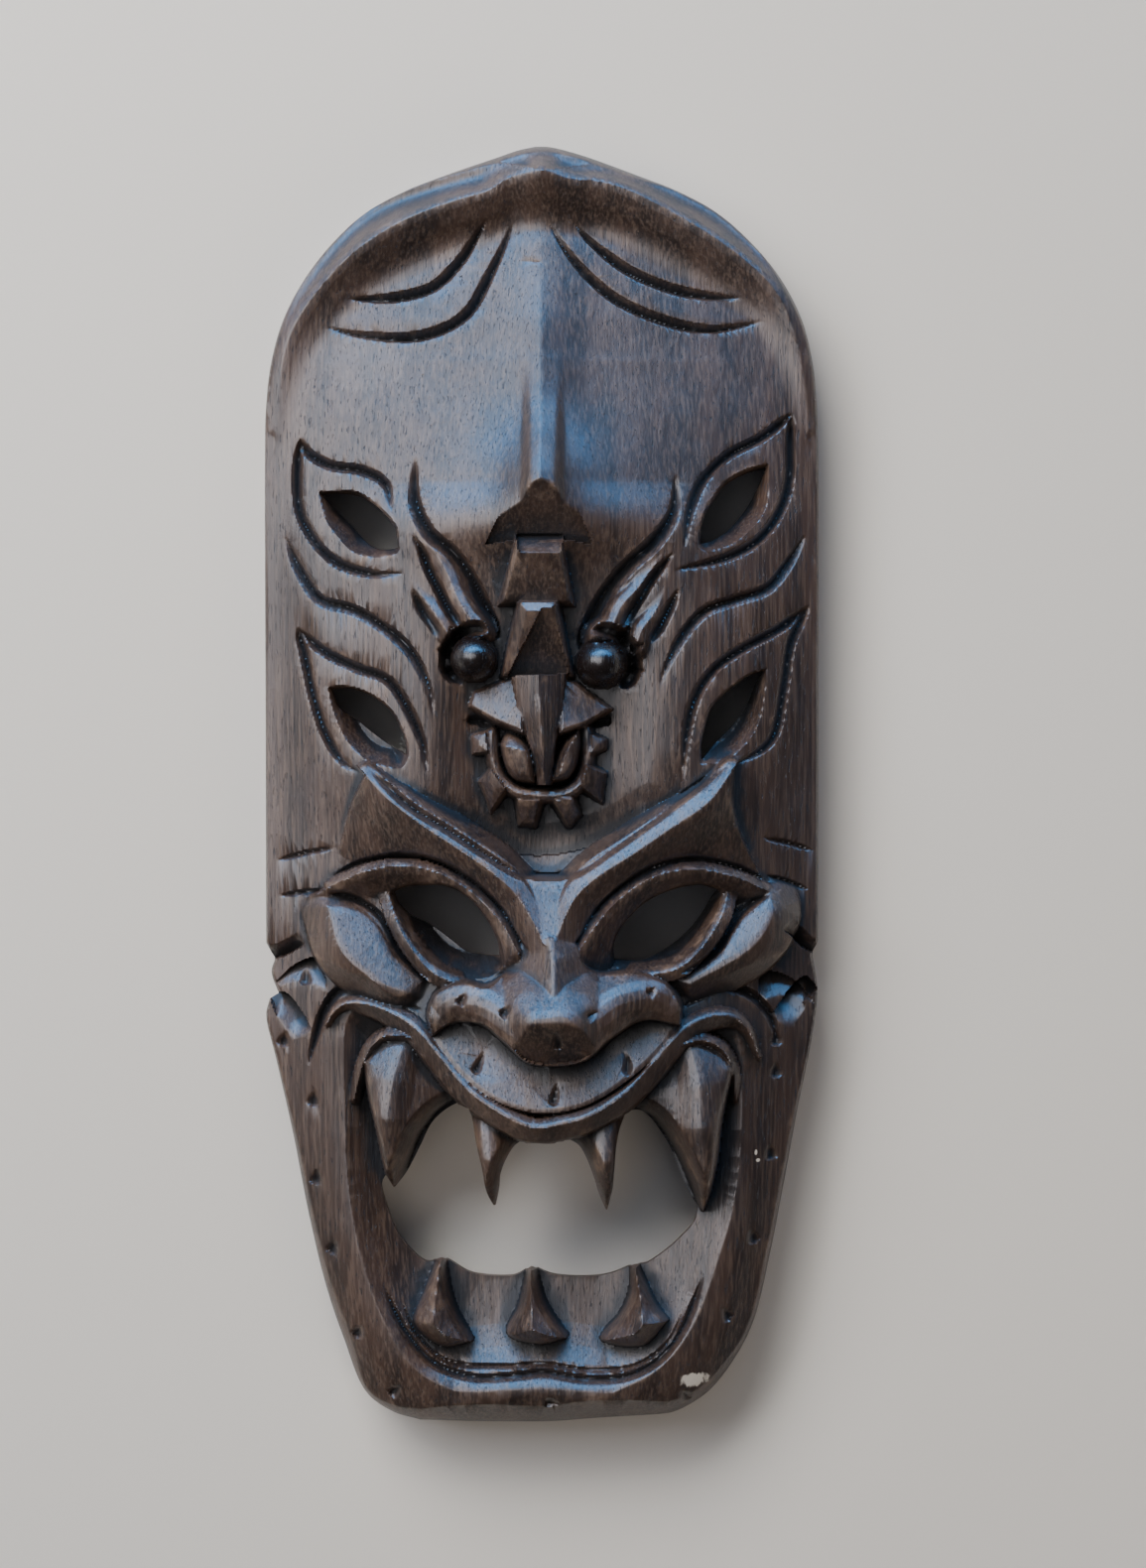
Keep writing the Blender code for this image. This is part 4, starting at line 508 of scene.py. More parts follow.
    # lower jaw, with the mouth line over it
    b.sweep(curve((-14, 14), (-13.4, 6), (-11, 1), (-7, -2.2), (0, -3.2), (7, -2.6), (11.3, 1), (12.8, 6),
                  (12.5, 15)),
            (30, 31, 31.5, 32, 32, 32, 31.5, 31, 30),
            ((-2.2, -5), (-1.1, -0.8), (0, 0), (1.3, -0.8), (2.2, -3)))
    b.groove(curve((-11.8, 9), (-10, 3), (-7, 0.3), (-3, -0.8), (0, -1), (4, -0.8), (7, 0.5), (10, 4),
                   (11.2, 10)),
             1.6, 3.0, ends=(0.1, 0.1))
    for outline, low, high in (
        ([(-20.4, 14.2), (-15, 15.2), (-13.8, 8.2), (-19.8, 7.6)], 28, 33),
        ([(-18.3, 1), (-13.8, 5), (-9, -1.2), (-14.3, -9)], 28, 34),
        ([(-7.4, -3.6), (0.3, -3.6), (-1.6, -12.4), (-6.8, -11.8)], 27.5, 33.5),
        ([(2, -3.2), (9, -3), (11.4, -8.8), (8.3, -12.4), (6.7, -12.2)], 27.5, 33.5),
        ([(12, 6.2), (18.6, 3.5), (17.4, -6.8), (9.8, -0.8)], 28, 34),
        ([(13.2, 14.8), (18.8, 13), (18.5, 9.2), (12.6, 7.2)], 28, 33),
    ):
        line = np.array(outline, float)
        mx, my = line.mean(0)
        ring = loop(*[[tuple(line[k]), tuple(line[(k + 1) % len(line)])] for k in range(len(line))])
        away = np.hypot(mx, my - 8)
        nx, ny = mx / away, (my - 8) / away
        middle = (high + low) / 2
        fall = slope((mx, my, middle), (mx + 4 * nx, my + 4 * ny, low), (mx - ny, my + nx, middle))
        b.plate(ring, lambda px, py: np.clip(fall(px, py), low, high),
                ((0, -5), (0.9, -0.8), (3, 0)))


def brows(b):
    b.step(curve((39.3, 9), (39, 2), (37, -5), (30, -9.5), (20, -15.5), (10, -18.5), (0, -20), (-10, -19),
                 (-20, -15), (-30, -9), (-34, -2)), 9, 1.8, side=-1, ends=(0.2, 0.2))
    left = [(-48.5, 2.4), (-42, -4.2), (-34, -10.4), (-24, -17), (-14, -23.8), (-7.2, -30), (-2.6, -37),
            (0.8, -44), (3.2, -51)]
    right = [(52.5, 3.6), (46, -5), (35, -12.6), (25, -19.4), (15, -25.8), (9.8, -30.5), (6.2, -37),
             (4, -44), (3.6, -51)]
    tall = (33.5, 37, 38.8, 40, 40.8, 41.8, 43.8, 46)
    for side, crest, lid in (
        (-1, left, [(-58.8, -25.5), (-50, -21.5), (-40, -19.8), (-30, -21), (-20, -26.5), (-10, -36),
                    (-4, -45), (3.2, -51)]),
        (1, right, [(62.8, -28.5), (53, -24), (42, -21.6), (31, -23.5), (21, -30), (12, -40), (7, -46),
                    (3.6, -51)]),
    ):
        line = curve(*crest)
        outer = [lid[0], (side * 55.5, -15), (side * 52.5, -5), crest[0]]
        b.facet(loop(crest, lid[::-1], outer), line, tall, ((0, 0), (2, -1.2), (10, -8), (26, -17)))
        rise = [(0, 0), (4, -2.2), (5, -4), (8, -14)]
        b.sweep(line, tall, rise if side < 0 else [(-o, d) for o, d in rise][::-1],
                width=(0.7, 1, 1, 1, 1, 0.9, 0.6, 0.4))
    b.groove(curve((-47, 3.6), (-40, -3), (-35, -7), (-25, -13), (-15, -19.5), (-6, -24.8), (0, -26),
                   (5, -25.8), (10, -24.2), (20, -17.5), (30, -10.5), (40, -3), (51, 5)),
             3.0, 2.4, ends=(0.1, 0.1))
    # the saddle between the brows, rising to the bridge of the nose
    b.plate(loop([(-12, -24.2), (-5, -26), (2, -26.6), (8, -26), (13, -24.4)],
                 [(13, -24.4), (9.4, -31), (6, -37), (3.8, -44)],
                 [(3.8, -44), (1, -44), (-2.4, -37), (-7, -30), (-12, -24.2)]),
            slope((2, -26, 37), (10, -26, 37), (3, -44, 45.2)), ((0, 0), (1, 0)), soft=0.6)


def eyes(b):
    for side, upper, tall, hole_front, lower, under, pouch in (
        (-1,
         [(-59, -28.5), (-50, -24.5), (-40, -22.5), (-30, -23.8), (-20, -29), (-11, -38), (-6.5, -46)],
         (25, 31, 34.5, 36.5, 38, 39.5, 41),
         loop([(-42.2, -30), (-38, -28), (-33, -27.4), (-28, -27.4), (-23.6, -28.5), (-19.6, -31),
               (-13.4, -39), (-11, -44), (-10, -50)],
              [(-10, -50), (-14, -53), (-18, -53.6), (-22, -53.2), (-30, -49.7), (-36, -43.2), (-40, -36),
               (-42.2, -30)]),
         [(-42.5, -31), (-40.5, -37), (-38, -42), (-35, -46.5), (-32, -50), (-28, -53), (-24, -54.5)],
         [(-60, -30.5), (-55, -31), (-51, -32.5), (-47, -35), (-44, -38), (-41.5, -42), (-39.5, -46),
          (-34, -52), (-30, -54)],
         loop([(-59.5, -34), (-55, -34.3), (-50, -35.8), (-46, -39.5), (-41, -48)],
              [(-41, -48), (-33, -54.5)],
              [(-33, -54.5), (-38, -58.5), (-43, -57.3), (-48, -53), (-53, -49), (-56, -45),
               (-59.5, -34)])),
        (1,
         [(62.5, -29.5), (53, -25.5), (42, -23.5), (31, -25.5), (21, -32), (14, -40), (9.5, -47)],
         (25, 31, 34.5, 36.5, 38, 39.5, 41),
         loop([(19.2, -50.5), (19.4, -44), (21.5, -39.2), (24.6, -35.6), (28.6, -32), (34, -29.4),
               (39, -27.9), (44, -27.4), (50.2, -29.2)],
              [(50.2, -29.2), (48.7, -35), (43.7, -44.2), (40, -47.7), (36, -50.2), (31, -51.2),
               (19.2, -50.5)]),
         [(51.5, -30.5), (50, -36), (46.5, -42), (42.5, -47), (38, -50.5), (33, -52), (26, -52.4)],
         [(62.5, -31), (59, -33), (55.5, -36), (52.5, -40), (50, -44), (46.5, -47.5), (42, -50.5),
          (38, -52.3)],
         loop([(63.5, -31.5), (64.3, -35), (63, -39), (60, -43.5), (56, -47), (51, -50), (41, -55.3)],
              [(41, -55.3), (37, -54)],
              [(37, -54), (44, -51), (50, -46.5), (53, -41), (57, -36), (63.5, -31.5)])),
    ):
        b.groove(curve(*[(x, y + 2.6) for x, y in upper]), 2.6, 2.4, ends=(0.15, 0.2))
        lid = ((-10, -8), (-2, -1), (0, 0), (2, -3))
        b.sweep(curve(*upper), tall, lid if side < 0 else [(-o, d) for o, d in lid][::-1], soft=0.6)
        face = slope((side * 58, -34, 26.5), (side * 41, -47, 29.5), (side * 47, -54, 33.5))
        b.plate(pouch, lambda x, y: np.minimum(face(x, y), 33.5),
                ((-8, -10), (-3, -3.5), (0, -0.3), (1.5, 0)), soft=1.0)
        rim = ((-3, -1.8), (0, 0), (3, -3))
        b.sweep(curve(*lower), (28, 31, 33.5, 35, 36, 37, 37),
                rim if side < 0 else [(-o, d) for o, d in rim][::-1], soft=0.4)
        b.groove(curve(*under), 2.4, 2.6, ends=(0.15, 0.2))
        i = b.around(hole_front, 0.5)
        d = inside(b.x[i], b.y[i], hole_front)
        b.z[i] -= np.interp(d, (0, 0.6, 6), (0, 1.5, 11))


def nose(b):
    shape = loop([(-6, -44), (-10, -52), (-15, -55.8), (-22, -54.6), (-28.5, -57.5), (-31, -63),
                  (-30, -69)],
                 [(-30, -69), (-27, -66.5), (-24, -65.3), (-16, -65.5), (-10, -70), (-4, -75), (0, -76.2),
                  (5, -76.2), (12, -74.5), (20, -68.5), (28, -64.6), (38, -66)],
                 [(38, -66), (37.5, -60), (33.5, -54.6), (26, -52), (17, -52.2), (12, -50), (9.5, -44)],
                 [(9.5, -44), (2, -42), (-6, -44)])
    b.facet(shape, curve((2.4, -42), (3.4, -48), (3.6, -54), (3.6, -60)), (45, 47.3, 49.2, 51),
            ((0, 0), (0.8, -0.2), (11, -9), (26, -26)), soft=0.4)
    wing = ((0, 0), (2.5, -0.6), (5, -2.2), (9, -6.5), (13, -13), (30, -44))
    b.facet(shape, curve((-27.5, -64), (-24, -61), (-17, -60.5), (-9, -65), (-1, -70), (3, -71)),
            (40.5, 43.5, 46, 49, 52, 53), wing, soft=0.8)
    b.facet(shape, curve((3, -71), (9, -69), (15, -64.5), (22, -60), (30, -59), (35, -61)),
            (53, 52, 49, 46, 43.5, 40.5), wing, soft=0.8)
    # the flat front of the tip
    b.facet(shape, curve((-1, -65), (7, -65), (6, -72), (1, -72), (-1, -65)), (54.5, 54.5),
            ((0, 0), (1.5, -0.2), (3.5, -1.4), (9, -6.5), (14, -13), (30, -44)), soft=0.4)
    # the tip leans back to its lower edge
    b.plate(shape, slope((0, -65, 54.5), (10, -65, 54.5), (0, -77, 45)), ((0, 0), (1, 0)), how="min",
            soft=0.6)
    # under the nose the lip's face rises to its crest
    lip = loop([(-30, -70), (-27, -66.5), (-24, -65.3), (-16, -65.5), (-10, -70), (-4, -75), (5, -76),
                (12, -74.5), (20, -68.5), (28, -64.6), (38, -66)],
               [(38, -66), (34, -72), (24, -81), (12, -88), (0, -90), (-12, -87), (-22, -80), (-30, -70)])
    rising = slope((0, -75, 38), (10, -75, 38), (2, -89, 43.8))
    b.plate(lip, rising, ((0, 14), (1.6, 0)), how="min")
    b.plate(lip, rising, ((0, -0.6), (1.2, 0)))


def lips(b):
    crest = curve((-60, -67), (-58, -63.5), (-55, -61.3), (-51, -60.8), (-43, -62.8), (-35, -67.3),
                  (-28, -75), (-20, -84), (-12, -89.5), (-4, -93.5), (0, -94), (6, -92.8), (12, -91.3),
                  (22, -85.5), (30, -77.5), (38, -69), (42, -66.3), (48, -64.3), (53, -64.8), (57, -68),
                  (60.5, -76))
    tall = (25, 28, 32, 36, 39, 42.5, 44.5, 45, 44.5, 42.5, 39, 36, 32, 28, 25)
    # the mouth's inner bowl, stepping down inside the lip
    bowl = loop([(-58, -66), (-54, -62), (-45, -63), (-36, -68), (-28, -76), (-20, -84), (-10, -91),
                 (0, -94), (10, -92), (20, -87), (30, -78), (38, -69), (48, -65), (56, -68), (60, -78)],
                [(60, -78), (60, -102), (57, -119), (52, -132), (46, -147), (40, -157), (32, -165),
                 (20, -171)],
                [(20, -171), (0, -168.8), (-25, -171)],
                [(-25, -171), (-36, -165.5), (-46.5, -150), (-54, -131), (-58.5, -110), (-59, -85),
                 (-58, -66)])
    i = b.around(bowl, 0.5)
    d = inside(b.x[i], b.y[i], bowl)
    i, d = i[d > 0], d[d > 0]
    drop = np.interp(d, (0, 1, 4, 8, 12, 18, 30), (0, 0.5, 2.2, 4.8, 7.2, 9.8, 11.5))
    b.z[i] = np.minimum(b.z[i], 25.5 - drop)
    jaw = [(60.5, -70), (60.5, -85), (60, -102), (57, -119), (52, -132), (46, -147), (40, -157), (32, -165),
           (20, -171), (0, -168.8), (-25, -171), (-36, -165.5), (-43, -156), (-49.5, -144), (-54, -131),
           (-57.5, -117), (-59, -100), (-59, -85), (-60, -66)]
    b.sweep(curve(*jaw), (25.5, 25.5), ((0, 0), (6, -2.6), (18, -11)), how="min")
    b.groove(curve((-65.5, -79), (-63.4, -71), (-61, -63.5), (-57, -58), (-50, -55.8), (-42, -58.5),
                   (-33, -63)),
             3.2, 3.4, ends=(0.25, 0.25))
    b.groove(curve((39, -62), (43, -59.5), (47, -57.5), (52, -56.7), (56, -57.5), (60, -60), (64, -65),
                   (66, -72)),
             3.2, 3.4, ends=(0.25, 0.25))
    b.sweep(crest, tall, ((-5.4, -8.5), (-4.2, -3.6), (0, 0), (1.0, -0.4), (2.8, -2.5)),
            width=(0.3, 0.8, 1, 1, 1, 1, 1, 1, 1, 1, 0.8, 0.3))
    b.groove(curve((-27, -72), (-22, -79), (-13, -86), (-3, -90), (3, -90), (12, -88), (24, -81.5),
                   (34, -71)),
             1.7, 2.2, ends=(0.15, 0.15))
    b.sweep(curve((-52.5, -88), (-49.5, -77), (-47, -72.5), (-43.5, -69.8), (-36, -70.2), (-28, -77.2)),
            (24, 27, 30, 32, 34, 36), ((-2, -3), (0, 0), (2, -3)))
    b.sweep(curve((54, -88), (53, -79), (50, -73.5), (45, -71), (39, -72), (33, -77)),
            (24, 27, 30, 32, 34, 36), ((-2, -3), (0, 0), (2, -3)))


def teeth(b):
    for outer, inner, root, ridge, heights, section in (
        ([(-49, -77), (-48, -85), (-46, -93), (-44.5, -100), (-43.2, -107), (-41.2, -113)],
         [(-41.2, -113), (-38, -104), (-35, -97), (-30, -91), (-22, -87)],
         [(-22, -87), (-28, -76), (-37, -71), (-44, -71), (-49, -77)],
         [(-38, -72), (-41, -82), (-42.6, -94), (-42.4, -104), (-41.2, -113)], (31, 34.5, 36, 34, 29),
         ((0, 0), (2, -0.5), (6, -3), (18, -7))),
        ([(53, -79), (49.5, -93), (48, -105), (45, -119)],
         [(45, -119), (41, -108), (36, -98), (31, -92), (23, -89)],
         [(23, -89), (31, -77), (40, -71), (48, -72), (53, -79)],
         [(41, -72), (43.5, -82), (44, -94), (45, -106), (45, -118)], (31, 34.5, 36, 34, 29),
         ((0, 0), (2, -0.5), (6, -3), (18, -7))),
        ([(-23, -84), (-19.5, -93), (-17, -103), (-15, -113), (-13, -118.5)],
         [(-13, -118.5), (-11.5, -108), (-9, -102), (-2, -95)], [(-2, -95), (-12, -89.5), (-23, -84)],
         [(-15, -88), (-14.5, -97), (-14.2, -106), (-13, -118)], (35.5, 38.5, 40.5, 39, 33),
         ((0, 0), (2.2, -0.5), (5, -3), (10, -5))),
        ([(26, -84), (21.8, -95), (20.3, -104), (18, -119.5)],
         [(18, -119.5), (14.8, -109), (11.5, -101), (4, -96)],
         [(4, -96), (14, -90.5), (26, -84)],
         [(17.5, -88), (17.2, -97), (17.4, -106), (18, -119)], (35.5, 38.5, 40.5, 39, 33),
         ((0, 0), (2.2, -0.5), (5, -3), (10, -5))),
    ):
        outline = loop(outer, inner, root)
        before = b.z.copy()
        b.facet(outline, curve(*ridge), heights, section)
        i = b.around(outline, WALL_FOOT)
        d = inside(b.x[i], b.y[i], outline)
        i, d = i[d > -WALL_FOOT], d[d > -WALL_FOOT]
        under = nearest(b.x[i], b.y[i], curve(*inner))[0]
        pared = np.interp(d, (0, 1, 2.5), (1.6, 0.4, 0)) + np.interp(under, (0, 3.6), (4.5, 0))
        b.z[i] = np.maximum(before[i], b.z[i] - pared)
    b.plate(loop([(-6, -94), (-2, -99), (2, -99), (8, -95)], [(8, -95), (0, -92), (-6, -94)]),
            slope((0, -94, 38), (4, -94, 38), (1, -99, 30)), ((0, 0), (1, 0)))
    for right, left, ridge in (
        ([(-28.3, -132.8), (-26.8, -141), (-24.5, -148), (-20, -155.5)],
         [(-20, -155.5), (-28, -157), (-36, -150.5), (-32.5, -142), (-28.3, -132.8)], -29),
        ([(-3, -135.2), (0, -145), (3, -150), (6.5, -154.5)],
         [(6.5, -154.5), (-1, -156.5), (-9.5, -154), (-6, -146), (-3, -135.2)], -2.5),
        ([(26, -134.8), (29, -141), (31.5, -145.5), (35, -149.5)],
         [(35, -149.5), (28, -157), (16.5, -155.5), (22, -149), (25, -143), (26, -134.8)], 27),
    ):
        b.plate(loop(right, left), slope((ridge, -134, 33.5), (ridge, -154, 31), (ridge - 9, -154, 29)),
                ((0, -9.5), (1.2, -6), (6.5, 0)), soft=0.5)
    b.groove(curve((-44.5, -139), (-41, -148), (-36, -156), (-30, -162), (-20, -165.5), (-6, -165),
                   (0, -164.3), (12, -166), (23, -165.5), (32, -161), (39, -152.5), (45, -137.5)), 2.6, 2.2,
             ends=(0.1, 0.1))
    b.groove(curve((-40, -143), (-35, -154), (-27, -161.2), (-10, -162.6), (0, -162), (14, -163.8),
                   (26, -162.4), (35, -156), (40, -146)), 1.6, 1.4, ends=(0.15, 0.15))


def ears(b):
    b.step(curve((-76.8, -59.6), (-73, -58.3), (-70, -60.5), (-67, -64.5), (-64.5, -69)), 6.5, 5,
           side=-1, ends=(0, 0.3))
    b.step(curve((77.5, -57.5), (74, -54), (70, -56.8), (67, -60.8), (64, -64.6)), 7, 5, side=1,
           ends=(0, 0.3))
    b.step(curve((-77.5, -49.2), (-73.5, -48.6), (-70, -47), (-66.5, -44.8)), 4, 5, side=1, ends=(0, 0.3))
    b.step(curve((78, -47.6), (74.5, -46.8), (71, -43.7), (67, -40.3)), 4, 5, side=-1, ends=(0, 0.3))


def marks(b):
    for cx, cy, turn in ((-66.3, -54, 0), (-72.5, -71.5, 20), (-64, -88, 10), (-63.3, -110, 10),
                         (-58.5, -129.5, 20), (-51.3, -153, 30), (-41, -169.5, 50), (65.5, -71, 0),
                         (65.5, -80, 0), (64, -103, -10), (59, -126.5, -20), (51.5, -148, -30),
                         (40, -171, -50), (3, -172.8, 90), (17.5, -173.4, 90), (-16.5, -175, 90)):
        a = np.radians(turn)
        p = [(cx + r * np.sin(a), cy + r * np.cos(a)) for r in (2.3, 0, -2.3)]
        b.groove(curve(*p), 4.0, 1.8, ends=(0.85, 0.12))
    for line in ([(-15.6, -73.2), (-17, -76.6), (-18.5, -79.6)],
                 [(22.6, -73.4), (23.6, -76.6), (23.4, -80)],
                 [(4.6, -81.4), (3.8, -84.8), (3, -88)], [(-20.4, -57), (-21.4, -58.6), (-22.6, -60.4)],
                 [(-8.4, -60), (-9.4, -61.6), (-11, -63.2)], [(15.4, -62), (13.8, -62.8), (12.2, -63.6)],
                 [(3.6, -67), (4.4, -69.4), (4.6, -72)], [(31.2, -55.6), (30.2, -56.8), (29, -57.6)]):
        b.groove(curve(*line), 3.2, 1.8, ends=(0.9, 0.12))


def front(x, y):
    b = Block(x, y)
    b.z = block(x, y)
    edge = inside(x, y, OUTLINE)
    forehead(b)
    dragon(b)
    brows(b)
    lips(b)
    eyes(b)
    nose(b)
    teeth(b)
    waves(b)
    ears(b)
    marks(b)
    # the outer edge is worn round
    worn = 1 - np.clip(edge, 0, 2.5) / 2.5
    b.z = np.minimum(b.z, 12.2 + 2.2 * np.sqrt(1 - worn**2) + 1.45 * np.maximum(edge, 0))
    return b.z


def back(x, y, face_height):
    """The hollow behind: a flat rim, a steep inner wall and a ceiling that follows the block."""
    edge = np.maximum(inside(x, y, OUTLINE) * BROAD, 0)
    ceiling = soft_min(block(x, y) * DEEP - WALL, face_height - THIN, 0.002)
    return np.clip(np.minimum(ceiling, 2.2 * (edge - RIM)), 0, None)


def plan_distance(x, y):
    """Distance to the edge of the plan, positive in the wood."""
    d = inside(x, y, OUTLINE)
    for hole in HOLES:
        i = np.flatnonzero((np.abs(x - hole[:, 0].mean()) < 60) & (np.abs(y - hole[:, 1].mean()) < 50))
        d[i] = np.minimum(d[i], -inside(x[i], y[i], hole))
    return d


def onto_edge(x, y):
    """The nearest points on the edges of the plan."""
    best = np.full(len(x), np.inf)
    px, py = x.copy(), y.copy()
    for line in [OUTLINE] + HOLES:
        dist, share, _ = nearest(x, y, line, closed=True)
        ring = np.vstack([line, line[:1]])
        run = np.concatenate([[0], np.cumsum(np.hypot(*np.diff(ring, axis=0).T))])
        near = dist < best
        best[near] = dist[near]
        px[near] = np.interp(share[near] * run[-1], run, ring[:, 0])
        py[near] = np.interp(share[near] * run[-1], run, ring[:, 1])
    return px, py


def blurred(grid, radius):
    """A soft average over about the radius, in grid steps."""
    for axis in (0, 1) * 3:
        padded = np.concatenate([np.repeat(grid.take([0], axis), radius + 1, axis), grid,
                                 np.repeat(grid.take([-1], axis), radius, axis)], axis)
        run = np.cumsum(padded, axis)
        wide = 2 * radius + 1
        if axis == 0:
            grid = (run[wide:] - run[:-wide]) / wide
        else:
            grid = (run[:, wide:] - run[:, :-wide]) / wide
    return grid


def sampled(grid, xs, ys, x, y):
    """The grid's values at any points, between its own."""
    u = np.clip((x - xs[0]) / (xs[1] - xs[0]), 0, len(xs) - 1.001)
    v = np.clip((y - ys[0]) / (ys[1] - ys[0]), 0, len(ys) - 1.001)
    c, r = u.astype(int), v.astype(int)
    fu, fv = u - c, v - r
    low = grid[r, c] * (1 - fu) + grid[r, c + 1] * fu
    high = grid[r + 1, c] * (1 - fu) + grid[r + 1, c + 1] * fu
    return low * (1 - fv) + high * fv


def carve(step):
    """The mask's surface on a fine grid cut to the plan: points, faces, and the height grid itself."""
    xs = np.arange(-80, 80 + step, step)
    ys = np.arange(-182, 182 + step, step)
    x, y = (v.ravel() for v in np.meshgrid(xs, ys))
    n = len(xs)
    heights = front(x, y)
    keep = (plan_distance(x, y) > -0.35 * step).reshape(len(ys), n)
    cell = keep[:-1, :-1] & keep[1:, :-1] & keep[:-1, 1:] & keep[1:, 1:]
    for _ in range(6):
        a, b, c, d = cell[:-1, :-1], cell[:-1, 1:], cell[1:, :-1], cell[1:, 1:]
        pinch = (a & d & ~b & ~c) | (b & c & ~a & ~d)
        if not pinch.any():
            break
        a[pinch] = False
        b[pinch] = False
    row, col = np.nonzero(cell)
    first = row * n + col
    square = np.column_stack([first, first + 1, first + n + 1, first + n])
    used, flat = np.unique(square, return_inverse=True)
    quads = flat.reshape(-1, 4)
    x, y, top = x[used], y[used], heights[used]
    start, end = quads.ravel(), np.roll(quads, -1, axis=1).ravel()
    count = len(x)
    open_edge = ~np.isin(start * count + end, end * count + start)
    start, end = start[open_edge], end[open_edge]
    x[start], y[start] = onto_edge(x[start], y[start])
    top[start] = front(x[start], y[start])
    top = top * DEEP
    height = np.concatenate([top, back(x, y, top)])
    points = np.column_stack([np.tile(x * BROAD, 2), np.tile(y * LONG, 2), height])
    walls = np.column_stack([start, start + count, end + count, end])
    faces = np.vstack([quads, quads[:, ::-1] + count, walls])
    return points, faces, xs, ys, heights.reshape(len(ys), n)


def ramp(values, low, high):
    """0 up to low and 1 from high, straight between."""
    return np.clip((values - low) / (high - low), 0, 1)


def carved_mask():
    """The mask's finished mesh, with each point's rubbed wear and painted highlight, its painted shade, and
    how much of the face it is.
    """
    points, faces, xs, ys, heights = carve(GRAIN)
    mesh = bpy.data.meshes.new("carved_mask")
    mesh.from_pydata(points, [], faces)
    mesh.validate()
    rough = bpy.data.objects.new("rough_mask", mesh)
    bpy.context.scene.collection.objects.link(rough)
    fewer = rough.modifiers.new("fewer faces", "DECIMATE")
    fewer.ratio = TRIANGLES / (2 * len(faces))
    fewer.use_collapse_triangulate = True
    bpy.context.view_layer.update()
    fine = bpy.data.meshes.new_from_object(rough.evaluated_get(bpy.context.evaluated_depsgraph_get()))
    bpy.data.objects.remove(rough)
    co = np.empty(len(fine.vertices) * 3)
    fine.vertices.foreach_get("co", co)
    co = co.reshape(-1, 3)
    # the rim on the floor is laid flat again
    co[np.abs(co[:, 2]) < 0.0002, 2] = 0.0

    # standing out from its surroundings: rubbed wear and painted highlight; lying deeper: painted shade
    steps = 1 / GRAIN
    edge = heights - blurred(heights, max(1, round(0.8 * steps)))
    form = heights - blurred(heights, round(3.5 * steps))
    x, y = co[:, 0] / BROAD, co[:, 1] / LONG
    face_side = (co[:, 2] > sampled(heights, xs, ys, x, y) * DEEP - 0.0008).astype(float)
    edge = blurred(np.clip(edge, -0.6, 0.6), 1)
    keen = sampled(edge, xs, ys, x, y)
    broad = sampled(form, xs, ys, x, y)
    wear_and_highlight = ramp(keen, 0.05, 0.40) * 0.85 + ramp(broad, 0.5, 3.5) * 0.15
    painted_shade = ramp(-keen, 0.04, 0.39) * 0.8 + ramp(-broad, 0.3, 3.3) * 0.3
    eyeball = np.zeros(len(x))
    for cx, cy, radius in EYEBALLS:
        eyeball = np.maximum(eyeball, smooth((radius + 0.3 - np.hypot(x - cx, y - cy)) / 0.8))
    for name, values in (("wear_and_highlight", wear_and_highlight * face_side), ("painted_shade", np.clip(painted_shade, 0, 1) * face_side),
                         ("face_side", face_side), ("eyeball", eyeball * face_side)):
        fine.attributes.new(name, "FLOAT", "POINT").data.foreach_set("value", np.clip(values, 0, 1))

    co[:, :2] -= 0.5 * (co[:, :2].min(axis=0) + co[:, :2].max(axis=0))
    fine.vertices.foreach_set("co", co.ravel())
    fine.update()
    fine.shade_smooth()
    fine.set_sharp_from_angle(angle=np.radians(38))
    piece = bpy.data.objects.new("carved_mask", fine)
    bpy.context.scene.collection.objects.link(piece)
    return piece


class Value:
    """A node's output that takes part in plain arithmetic."""

    def __init__(self, maker, socket):
        self.maker, self.socket = maker, socket

    def _math(self, operation, *others):
        values = [self] + list(others)
        return self.maker.node("ShaderNodeMath", {"operation": operation}, dict(enumerate(values)))

    def __add__(self, other):
        return self._math("ADD", other)

    def __sub__(self, other):
        return self._math("SUBTRACT", other)

    def __rsub__(self, other):
        return (self * -1) + other

    def __mul__(self, other):
        return self._math("MULTIPLY", other)

    __radd__ = __add__
    __rmul__ = __mul__

    def most(self, other):
        return self._math("MAXIMUM", other)

    def between(self, low, high):
        """0 below low, 1 above high, smooth between."""
        return self.maker.node("ShaderNodeMapRange", {"interpolation_type": "SMOOTHSTEP"},
                               {"Value": self, "From Min": low, "From Max": high})


